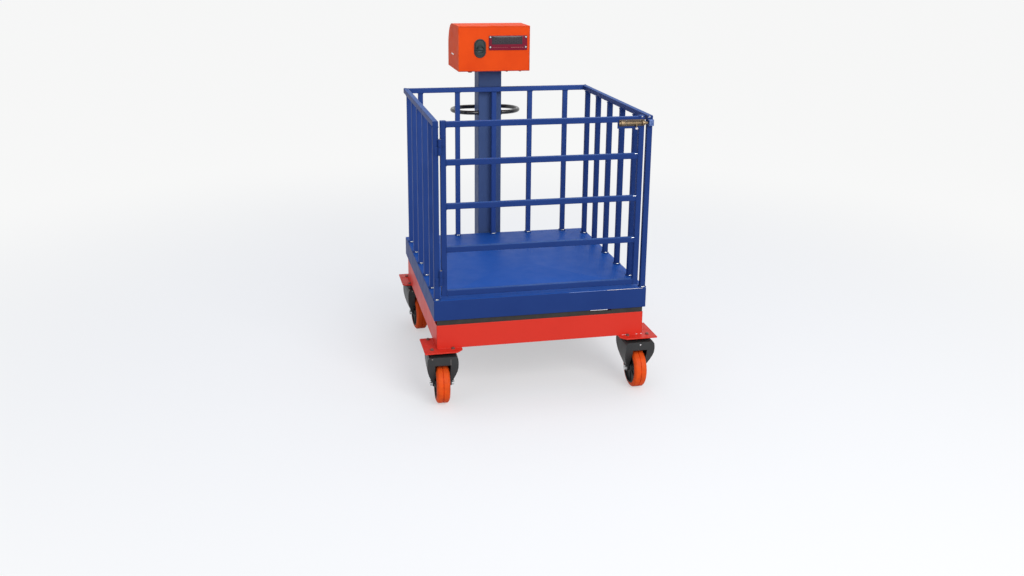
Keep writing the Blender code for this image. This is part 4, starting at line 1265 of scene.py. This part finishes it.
@dataclass
class Caster:
    """One swivel caster: plate, bearing, pressed fork, hub, and tread.

    Attributes:
        corner: Which caster it is.
        radius: The wheel's radius.
        half: Half the wheel's width.
        tyre: The tread's thickness.
        groove: The width of the groove round the tread.
        groove_depth: The groove's depth.
        web: Half the distance between the hub's recessed faces.
        nave: The radius of the hub's nave.
        bore: The radius of its bore.
        seat: How far from the wheel's middle the axle's washers sit.
        fork_front: How far ahead of the swivel the fork's front face is.
        sides: How many points go round.
    """

    corner: Corner
    radius: float = 0.075
    half: float = 0.025
    tyre: float = 0.015
    groove: float = 0.0038
    groove_depth: float = 0.0032
    web: float = 0.0168
    nave: float = 0.0165
    bore: float = 0.0058
    seat: float = 0.0352
    fork_front: float = 0.0917
    sides: int = 96

    def build(self) -> None:
        """Makes the caster's pieces, and rides them on its own fork and wheel."""
        self.word = self.corner.value
        self.swivel, _ = frame_joint(f"swivel_{self.word}")
        self.axle, self.axis = frame_joint(f"roll_{self.word}")
        self.forward = np.array([self.axis[1], -self.axis[0], 0.0])
        self.fork, self.wheel = f"fork_{self.word}", f"wheel_{self.word}"
        refined(f"caster_plate_{self.word}", Coat.BLACK_STEEL, 0.8)
        refined(f"caster_fork_{self.word}", Coat.BLACK_STEEL, 1.6, self.fork, angle=20.0)
        self.tread()
        self.hub()
        self.nuts()
        self.rivets()
        seal = [[0.0385, 0.0], [0.0405, 0.0004], [0.0410, 0.0012], [0.0405, 0.0020],
                [0.0385, 0.0022]]
        ring = Shell().lathe(seal, 64, self.spot(0.0, 0.0, 0.1945), along=True)
        ring.make(f"dust_ring_{self.word}", Coat.DULL_ZINC)

    def spot(self, ahead: float, across: float, height: float) -> Array:
        """A point on the fork, from the floor under the swivel."""
        ground = self.swivel * np.array([1, 1, 0])
        return ground + self.forward * ahead + self.axis * across + np.array([0, 0, height])

    def tread(self) -> None:
        """Turns the tyre: a crown with round shoulders, a groove, and a recessed side.

        The crown's drop is 0.0125 q ** 2.2 within the shoulder, where q runs from 0 at its
        inner edge to 1 at the tyre's side.
        """
        start = self.half - 0.0105
        x = np.concatenate([np.linspace(-self.half, -start, 8),
                            [-self.groove / 2 - 0.0006, -self.groove / 2]])
        q = np.clip((np.abs(x) - start) / (self.half - start), 0, 1)
        crown = np.stack([self.radius - 0.0125 * q ** 2.2, x], axis=-1)
        core = self.radius - self.tyre
        side = [[core, -self.half + 0.0010], [core + 0.0012, -self.half + 0.0006]]
        valley = [[self.radius - self.groove_depth, -self.groove * 0.18]]
        profile = mirrored(np.concatenate([side, crown, valley]))
        shell = Shell().lathe(profile, self.sides, self.axle, self.axis, along=True)
        shell.make(f"tread_{self.word}", Coat.TREAD, (f"tyre_{self.word}",), self.wheel,
                   sharp=50.0)

    def hub(self) -> None:
        """Turns the hub with its rim and nave, and stands six ribs in each recess."""
        rim = self.radius - self.tyre - 0.0002
        half, web, nave, bore = self.half, self.web, self.nave, self.bore
        profile = [[bore, -half - 0.001], [nave - 0.001, -half - 0.001], [nave, -half],
                   [nave + 0.002, -web - 0.002], [nave + 0.004, -web], [rim - 0.0075, -web],
                   [rim - 0.0045, -web - 0.002], [rim - 0.0035, -half + 0.0006],
                   [rim - 0.0006, -half + 0.0002], [rim, -half + 0.0010]]
        shell = Shell().lathe(mirrored(np.array(profile)), self.sides, self.axle, self.axis,
                              along=True)
        outline = rounded_box(0.0042, rim - nave - 0.002, 0.0012, 3)
        outline += np.array([0.0, (rim + nave) / 2 - 0.001])
        rib = soft_plate(outline, 2 * (half - 0.0045), 0.0008)
        rib[..., 2] -= half - 0.0045
        for k in range(6):
            shell.solid(placed(rib, self.axle, self.axis, spin=k * math.pi / 3))
        shell.make(f"hub_{self.word}", Coat.NYLON, (f"wheel_hub_{self.word}",), self.wheel)

    def nuts(self) -> None:
        """Puts a washer, a nut and the thread's end on each side of the axle."""
        shell = Shell()
        for out in (-self.axis, self.axis):
            seat = self.axle + out * self.seat
            shell.lathe([[0.0118, 0.0], [0.0118, 0.0012], [0.0112, 0.0017], [0, 0.0017]], 32,
                        seat, out)
            shell.hex_bolt(seat + out * 0.0015, out, 0.0198, 0.0070, spin=0.3)
            shell.lathe([[0.0040, 0.0], [0.0040, 0.0096], [0.0032, 0.0104], [0, 0.0104]], 20,
                        seat, out)
        shell.make(f"axle_nuts_{self.word}", Coat.ZINC, body=self.fork)

    def rivets(self) -> None:
        """Adds the rivet in front of the fork, near white on the front right as a painted glint, and a painted
        highlight streak on the front left.
        """
        rivet = Shell()
        bright = self.corner is Corner.FRONT_RIGHT
        across, height = (0.0, 0.1820) if bright else (-0.038, 0.1860)
        rivet.pan_screw(self.spot(self.fork_front, across, height), self.forward, 0.0030)
        rivet.make(f"fork_rivet_{self.word}", Coat.PALE_ZINC if bright else Coat.DULL_ZINC,
                   body=self.fork)
        # On the front left a thin zinc streak paints a highlight down the fork's front
        if self.corner is Corner.FRONT_LEFT:
            streak = Shell()
            foot, head = (self.spot(self.fork_front + 0.0002, 0.0285, height)
                          for height in (0.161, 0.184))
            streak.seam(foot, head, 0.0011, self.forward, ripple=0.05)
            streak.make("fork_highlight_streak", Coat.DULL_ZINC, body=self.fork)


@dataclass
class Deck:
    """The deck's pan under its enamelled plate, and the column that stands behind it.

    Attributes:
        field_x: Half the width of the cover sheet inside the bars.
        field_y: The cover sheet's front and back, from the deck's front.
        highlight_stretch: Where the painted highlight along the front edge runs along X: its start, where it turns
            bright, and its end.
    """

    field_x: float = 0.3725
    field_y: tuple[float, float] = (0.0275, 0.8225)
    highlight_stretch: tuple[float, float, float] = (0.100, 0.246, 0.386)

    def build(self) -> None:
        """Rounds the column and the pan, and lays the plate and the cover sheet on top."""
        # The column's coat is painted paler: painted light for the shade behind the deck
        refined("column", Coat.CHALKED, 1.0)
        refined("deck_pan", Coat.BLUE, 0.8)
        shell = Shell()
        plate = soft_plate(rounded_box(SCALE.right - SCALE.left - 0.003,
                                       SCALE.back - SCALE.front - 0.003, 0.002), 0.0008, 0.0007)
        shell.solid(plate + np.array([0.0, (SCALE.front + SCALE.back) / 2,
                                      SCALE.top - 0.0006]))
        cover = soft_plate(rounded_box(2 * self.field_x - 0.001,
                                       self.field_y[1] - self.field_y[0] - 0.001, 0.002),
                           0.0005, 0.0004)
        shell.solid(cover + np.array([0.0, SCALE.front + sum(self.field_y) / 2,
                                      SCALE.top + 0.0002]))
        # The plate's lighter, more saturated blue is painted light on the deck's lit top
        shell.make("deck_plate", Coat.DECK)
        self.edge_highlight()

    def edge_highlight(self) -> None:
        """Lays a bead along the pan's front edge that paints its highlight, dim then bright towards its end."""
        y, z = SCALE.front + 0.0004, SCALE.top - 0.0004
        start, middle, end = self.highlight_stretch
        for name, coat, x0, x1, radius in (
                ("deck_edge_highlight_dim", Coat.RUBBED, start, middle, 0.0009),
                ("deck_edge_highlight_bright", Coat.PALE_ZINC, middle, end, 0.0008)):
            edge = Shell()
            edge.seam((x0, y, z), (x1, y, z), radius, ripple=0.12, step=0.009)
            edge.make(name, coat)


@dataclass
class ColumnFittings:
    """What is fixed to the column: the push handle, and the bolts of its bracket.

    Attributes:
        handle_r: The radius of the handle's bar.
        bend: The radius of its bends.
        half: Half its width.
        reach: How far from the column's middle its ends are.
        bolts: The bracket's bolts: half their distance, and their heights.
    """

    handle_r: float = 0.0088
    bend: float = 0.086
    half: float = 0.1533
    reach: float = 0.0505
    bolts: tuple[float, tuple[float, float]] = (0.074, (0.026, 0.066))

    def build(self) -> None:
        """Sweeps the handle, and bolts the bracket to the rear beam."""
        self.middle = sum(corner.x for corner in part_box("column")) / 2
        self.handle()
        shell = Shell()
        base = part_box("chassis_rear_channel")[0].z
        for side in (-1, 1):
            for height in self.bolts[1]:
                shell.hex_bolt((self.middle + side * self.bolts[0], SCALE.back + 0.0043,
                                base + height), (0, 1, 0), 0.0168, 0.0066, 0.0110, 0.25 * side)
        shell.make("bracket_bolts", Coat.DULL_ZINC)

    def handle(self) -> None:
        """Sweeps a round section along the bar: straight, half round, straight, half round.

        Each bend's line is (cx + r cos a, cy + r sin a) for a half turn.
        """
        low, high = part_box("push_handle")
        cx, z = (low.x + high.x) / 2, (low.z + high.z) / 2
        near = low.y + self.handle_r
        run = self.half - self.handle_r - self.bend
        a = np.linspace(-np.pi / 2, -3 * np.pi / 2, 33)
        left = np.stack([cx - run + self.bend * np.cos(a),
                         near + self.bend + self.bend * np.sin(a)], -1)
        right = left[::-1] * np.array([-1, 1]) + np.array([2 * cx, 0])
        ends = (self.middle - self.reach, self.middle + self.reach)
        path = lifted(np.concatenate([[[ends[0], near]], left, right, [[ends[1], near]]]), z)
        bar, beads = Shell(), Shell()
        bar.solid(swept(path, circle(28, self.handle_r), UP))
        bar.make("handle_bar", Coat.BLACK_GLOSS, ("push_handle",))
        ring = lifted(circle(28, self.handle_r + 0.0008))
        for end in ends:
            beads.bead(facing(ring, (end, near, z), Face.RIGHT), RIGHT, 0.0020)
        beads.make("handle_welds", Coat.BLACK_GLOSS)


@dataclass
class Indicator:
    """The orange indicator: its case, window, keys, screws, feet, and gland.

    Places along X are from the deck's left edge, and heights are above the deck.

    Attributes:
        window_x: The window's left and right.
        window_z: Its bottom and top.
        display_x: The display's left and right.
        display_z: Its bottom and top.
        marks: The rows of dashes: first place, pitch, count, and half their height.
        key_x: The middle of the keys.
        key_z: Their height.
        feet: The feet's places, from the case's left.
        cover_screws: The end cover's screws, from the case's front and foot.
        slot: The slot in the left side, from the deck's front and above the deck.
    """

    window_x: tuple[float, float] = (0.3514, 0.5144)
    window_z: tuple[float, float] = (0.8078, 0.8675)
    display_x: tuple[float, float] = (0.3637, 0.4935)
    display_z: tuple[float, float] = (0.8318, 0.8655)
    marks: tuple[tuple[float, float, int, float], ...] = ((0.3665, 0.0074, 9, 0.0005),
                                                          (0.4450, 0.0092, 6, 0.0011))
    key_x: float = 0.3145
    key_z: float = 0.8156
    feet: tuple[float, ...] = (0.045, 0.0747, 0.206, 0.263)
    cover_screws: tuple[tuple[float, float], ...] = (
        (0.016, 0.022), (0.016, 0.164), (0.225, 0.022), (0.160, 0.172))
    slot: tuple[float, float] = (0.916, 0.781)

    def build(self) -> None:
        """Makes the case, the window with its display, the keys, and the small parts."""
        self.low, self.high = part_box("indicator_case")
        self.face = self.low.y
        refined("indicator_case", Coat.ORANGE, 1.2, angle=20.0)
        refined("indicator_end_cover", Coat.ORANGE, 0.5, angle=20.0)
        self.window()
        self.window_screws()
        self.bezel()
        self.key("key_tare", "tare_pad", Body.TARE)
        self.key("key_zero", "zero_pad", Body.ZERO)
        self.small_parts()
        self.edges()
        refined("cable_gland", Coat.PLASTIC, 0.5)

    def panel(self, x: tuple[float, float], z: tuple[float, float], back: float,
              thickness: float, corner: float, edge: float) -> Array:
        """A plate that faces the gate side.

        Args:
            x: Its left and right, from the deck's left edge.
            z: Its bottom and top, above the deck.
            back: Its back face along Y.
            thickness: How far it stands out.
            corner: Its corners' radius.
            edge: Its edges' radius.

        Returns:
            A grid for a closed plate.
        """
        plate = soft_plate(rounded_box(x[1] - x[0], z[1] - z[0], corner), thickness, edge)
        return facing(plate, (SCALE.left + sum(x) / 2, back, SCALE.top + sum(z) / 2))

    def window(self) -> None:
        """Lays the acrylic window, its dark display, the unlit digits, and the dashes."""
        low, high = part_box("display_window")
        plate = self.panel(self.window_x, self.window_z, high.y, high.y - low.y, 0.0025, 0.0007)
        Shell().solid(plate).make("window_plate", Coat.ACRYLIC, ("display_window",))
        dark = self.panel(self.display_x, self.display_z, low.y + 0.0001, 0.0003, 0.0008,
                          0.0001)
        Shell().solid(dark).make("display_panel", Coat.DISPLAY)
        self.digits(low.y - 0.0002)
        marks = Shell()
        z = self.window_z[0] + 0.0112
        for first, pitch, count, half in self.marks:
            for k in range(count):
                dash = (first + pitch * k, first + pitch * (k + 0.78))
                marks.solid(self.panel(dash, (z - half, z + half), low.y + 0.0001, 0.0003,
                                       0.0004, 0.0001))
        marks.make("window_marks", Coat.MARK)

    def digits(self, front: float) -> None:
        """Lays six unlit digits of seven segments each, a little slanted.

        Args:
            front: The display's face along Y.
        """
        shell = Shell()
        tall, wide, bar, gap, pitch, slant = 0.0225, 0.0125, 0.0021, 0.0022, 0.0195, 0.08
        z0 = SCALE.top + sum(self.display_z) / 2
        first = SCALE.left + sum(self.display_x) / 2 - 2.5 * pitch
        lying = [(0, rise * tall / 2, (wide - gap, bar)) for rise in (1, 0, -1)]
        standing = [(side * wide / 2, rise * tall / 4, (bar, tall / 2 - gap))
                    for rise in (1, -1) for side in (-1, 1)]
        for k in range(6):
            for dx, dz, size in lying + standing:
                plate = soft_plate(rounded_box(*size, bar * 0.42, 2), 0.00020, 0.00005, 1)
                plate[..., 0] += slant * (plate[..., 1] + dz)
                shell.solid(facing(plate, (first + k * pitch + dx, front + 0.00008, z0 + dz)))
        shell.make("display_segments", Coat.SEGMENT)

    def window_screws(self) -> None:
        """Holds the window with four screws in dark cups."""
        screws, cups = Shell(), Shell()
        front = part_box("display_window")[0].y
        cup = [[0.0058, 0.0], [0.0054, 0.0006], [0.0040, 0.0008], [0.0, 0.0008]]
        for x in (self.window_x[0] + 0.0060, self.window_x[1] - 0.0060):
            for z in (self.window_z[0] + 0.0122, self.window_z[1] - 0.0062):
                at = np.array([SCALE.left + x, front, SCALE.top + z])
                cups.lathe(cup, 28, at, FORWARD)
                screws.pan_screw(at - np.array([0, 0.0007, 0]), FORWARD, 0.0036)
        # The screws' near-white zinc paints their glints
        screws.make("window_screws", Coat.PALE_ZINC)
        cups.make("window_screw_cups", Coat.PLASTIC)

    def bezel(self) -> None:
        """Makes the oval bezel's lip, by blending its outer outline into its inner one."""
        outer, inner = obround(0.050, 0.078), obround(0.0390, 0.0670)
        share, rise = np.array([
            [0.0, 0.0], [0.0, 0.0020], [0.10, 0.0028], [0.30, 0.0031], [0.75, 0.0031],
            [0.95, 0.0026], [1.0, 0.0018], [1.0, -0.0095], [0.36, -0.0095], [0.36, 0.0]]
        ).T[..., None, None]
        grid = lifted(outer[None] * (1 - share) + inner[None] * share, rise)
        at = (SCALE.left + self.key_x, self.face - 0.0003, SCALE.top + self.key_z)
        Shell().patch(facing(grid, at), along=True).make("bezel_lip", Coat.PLASTIC,
                                                         ("key_bezel",))

    def key(self, node: str, name: str, body: Body) -> None:
        """Domes one key, a half oval: its outline shrinks by steps as it rises.

        Args:
            node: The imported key.
            name: The piece's name.
            body: The key's body.
        """
        low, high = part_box(node)
        upper = body is Body.TARE
        side = 1 if upper else -1
        middle, wide, tall = (low.x + high.x) / 2, (high.x - low.x) / 2, high.z - low.z
        a = np.linspace(0.0, np.pi, 25)
        arc = np.stack([wide * np.cos(a), tall - wide + wide * np.sin(a)], axis=-1)
        corner = 0.0012
        turn = np.linspace(0, np.pi / 2, 4)
        left = np.stack([-wide + corner * (1 - np.cos(turn)),
                         corner * (1 - np.sin(turn))], axis=-1)
        outline = np.concatenate([arc, left, (left * np.array([-1, 1]))[::-1]])
        flat = (outline * np.array([1, side]))[::side]
        foot = low.z if upper else high.z
        grid = layers(flat, [0.0, 0.0, 0.0004, 0.0013, 0.0030, 0.0062],
                      [0.0, 0.0098, 0.0107, 0.0112, 0.0116, 0.0119])
        Shell().solid(facing(grid, (middle, high.y, foot))).make(name, Coat.KEY, (node,),
                                                                 body.value)
        # A grey line by the keys' split paints the highlight along the gap between them
        width, rise = (0.0150, 0.0048) if upper else (0.0110, -0.0062)
        dash = soft_plate(rounded_box(width, 0.0009, 0.0004, 2), 0.0003, 0.0001, 1)
        mark = Shell().solid(facing(dash, (middle + side * 0.0055, low.y + 0.0003,
                                           foot + rise)))
        mark.make(f"{name}_mark", Coat.LEGEND, body=body.value)

    def small_parts(self) -> None:
        """Adds the end cover's screws and the slot in the left side."""
        cover = Shell()
        for y, z in self.cover_screws:
            cover.pan_screw((self.high.x, self.face + y, self.low.z + z), RIGHT, 0.0032)
        cover.make("cover_screws", Coat.DULL_ZINC)
        lip = soft_plate(obround(0.004, 0.055)[:, ::-1], 0.0016, 0.0005)
        at = (self.low.x + 0.0002, SCALE.front + self.slot[0], SCALE.top + self.slot[1])
        Shell().solid(facing(lip, at, Face.LEFT)).make("side_slot", Coat.ZINC)

    def edges(self) -> None:
        """Adds the feet under the case, and the dark red lines along its front edges that paint the shade on them.
        """
        shell = Shell()
        t = np.linspace(0, np.pi / 2, 5)
        dome = np.stack([0.0036 + 0.0016 * np.cos(t), 0.0016 + 0.0014 * np.sin(t)], -1)
        foot = np.concatenate([[[0.0052, -0.0003]], dome, [[0, 0.0030]]])
        for x in self.feet:
            shell.lathe(foot, 24, (self.low.x + x, self.face + 0.010, self.low.z), (0, 0, -1))
        wide, tall = self.high.x - self.low.x, self.high.z - self.low.z
        x, z = (self.low.x + self.high.x) / 2, (self.low.z + self.high.z) / 2
        for size, corner, rise, edge, at in (
                ((wide - 0.006, 0.0022), 0.0008, 0.0007, 0.0003, (x, self.low.z + 0.0016)),
                ((0.0014, tall - 0.008), 0.0005, 0.0007, 0.0003, (self.high.x - 0.0016, z)),
                ((wide - 0.008, 0.0010), 0.0004, 0.0006, 0.0002, (x, self.high.z - 0.0040))):
            lip = soft_plate(rounded_box(*size, corner), rise, edge)
            shell.solid(facing(lip, (at[0], self.face + 0.0004, at[1])))
        shell.make("case_feet_and_edge_shade", Coat.PRIMER)


@dataclass
class Studio:
    """The camera at the photograph's angle, the floor, and the lights.

    Attributes:
        yaw: The camera's turn to the right, in radians.
        pitch: Its tilt downwards.
        roll: Its roll.
        focal_px: Its focal length in pixels.
        centre_px: Where its axis meets the picture.
        image: The picture's size.
        eye: Its place, from the deck's front left top corner.
        lamps: Each lamp's name, place, aim, side, and power in watts.
    """

    yaw: float = 0.221768557
    pitch: float = 0.268340122
    roll: float = 0.0095023
    focal_px: float = 1021.80
    centre_px: tuple[float, float] = (511.94, 224.97)
    image: tuple[int, int] = (1024, 576)
    eye: tuple[float, float, float] = (-0.48873, -3.42096, 1.23361)
    lamps: tuple[tuple, ...] = (("key", (1.2, -4.8, 3.3), (0.0, 0.0, 0.6), 3.0, 172.0),
                                ("top", (0.2, 0.6, 4.6), (0.0, 0.0, 0.5), 2.6, 50.0),
                                ("side", (-3.0, -2.4, 0.5), (-0.3, 0.1, 0.2), 1.2, 13.0))

    def build(self) -> None:
        """Sets the camera, the stage, the lights, and the view transform."""
        self.camera()
        self.stage()
        self.world()
        for lamp in self.lamps:
            self.lamp(*lamp)
        bpy.context.scene.view_settings.view_transform = "Standard"

    def camera(self) -> None:
        """Stands the camera where the photograph was taken from."""
        forward = Vector((math.sin(self.yaw) * math.cos(self.pitch),
                          math.cos(self.yaw) * math.cos(self.pitch), -math.sin(self.pitch)))
        right = Vector((math.cos(self.yaw), -math.sin(self.yaw), 0.0))
        up = right.cross(forward)
        across = right * math.cos(self.roll) + up * math.sin(self.roll)
        rise = up * math.cos(self.roll) - right * math.sin(self.roll)
        stand = Matrix((across, rise, -forward)).transposed().to_4x4()
        stand.translation = Vector(self.eye) + Vector((SCALE.left, SCALE.front, SCALE.top))
        data = bpy.data.cameras.new("camera")
        data.sensor_width = 36.0
        data.lens = self.focal_px / self.image[0] * data.sensor_width
        data.shift_x = -(self.centre_px[0] - self.image[0] / 2) / self.image[0]
        data.shift_y = (self.centre_px[1] - self.image[1] / 2) / self.image[0]
        data.clip_start = 0.05
        camera = bpy.data.objects.new("camera", data)
        camera.matrix_world = stand
        bpy.context.scene.collection.objects.link(camera)
        bpy.context.scene.camera = camera

    def stage(self) -> None:
        """Lays a pale floor so wide that its edge is the horizon."""
        rings = np.array([0.0, 2.0, 8.0, 30.0, 90.0])
        mesh = Shell().patch(lifted(rings[:, None, None] * circle(48)[None])).mesh("floor")
        mesh.materials.append(self.floor_material())
        floor = bpy.data.objects.new("floor", mesh)
        bpy.context.scene.collection.objects.link(floor)

    def floor_material(self) -> bpy.types.Material:
        """A pale matt floor that the camera sees near white, with the shadow kept.

        For camera, glossy and transmission rays a share of its light is its own, half of it
        near the object and nearly all of it a few metres away, so that no horizon shows.

        Returns:
            The floor's material.
        """
        made = bpy.data.materials.new("pale studio floor")
        made.use_nodes = True
        shade = Shade(made.node_tree)
        sockets = shade.tree.nodes["Principled BSDF"].inputs
        sockets["Roughness"].default_value = 0.9
        sockets["Specular IOR Level"].default_value = 0.0
        sockets["Emission Color"].default_value = linear("#FBFBFA")
        seen = shade.seen()
        away = add_node(shade.tree, "ShaderNodeVectorMath", {"operation": "LENGTH"},
                        {0: shade.place}).outputs["Value"]
        share = shade.span(away, 0.7, 4.0, 0.50, 0.93, "SMOOTHSTEP")
        own = shade.sum_up("MULTIPLY", share, seen)
        colour = shade.blend(own, shade.blend(seen, "#D2D2D0", "#F8F8F7"), "#000000")
        shade.tree.links.new(colour, sockets["Base Color"])
        shade.tree.links.new(own, sockets["Emission Strength"])
        return made

    def world(self) -> None:
        """Lights the world evenly and a little blue, behind a white background."""
        world = bpy.data.worlds.new("studio")
        world.use_nodes = True
        shade = Shade(world.node_tree)
        sockets = shade.tree.nodes["Background"].inputs
        seen = shade.seen()
        shade.tree.links.new(shade.blend(seen, "#DCE5FA", "#FBFBFA"), sockets["Color"])
        shade.tree.links.new(shade.span(seen, 0.0, 1.0, 0.58, 1.0), sockets["Strength"])
        bpy.context.scene.world = world

    def lamp(self, name: str, at: tuple, aim: tuple, size: float, power: float) -> None:
        """Hangs one square lamp that looks at a point.

        Args:
            name: The lamp's name.
            at: Where it hangs.
            aim: What it lights.
            size: The side of its square.
            power: Its power in watts.
        """
        data = bpy.data.lights.new(name, "AREA")
        data.size = size
        data.energy = power
        lamp = bpy.data.objects.new(name, data)
        lamp.location = at
        lamp.rotation_euler = (Vector(aim) - Vector(at)).to_track_quat("-Z", "Y").to_euler()
        bpy.context.scene.collection.objects.link(lamp)


def dress_nodes() -> None:
    """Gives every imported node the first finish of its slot."""
    slots = {part["node"]: part["material_slot"] for part in frame["record"]["subparts"]}
    for name, node in frame["nodes"].items():
        coat = next(coat for coat in Coat if coat.slot == slots[name])
        node.data.materials.clear()
        node.data.materials.append(coat.material)


def main() -> None:
    """Builds the sub-assemblies in order, then the studio."""
    logging.basicConfig(level=logging.INFO, format="%(message)s")
    dress_nodes()
    for part in (Cage(), Gate(), Latch(), Chassis(), *[Caster(c) for c in Corner], Deck(),
                 ColumnFittings(), Indicator(), Studio()):
        part.build()
        LOG.info("built %s", type(part).__name__)


if __name__ == "__main__":
    main()
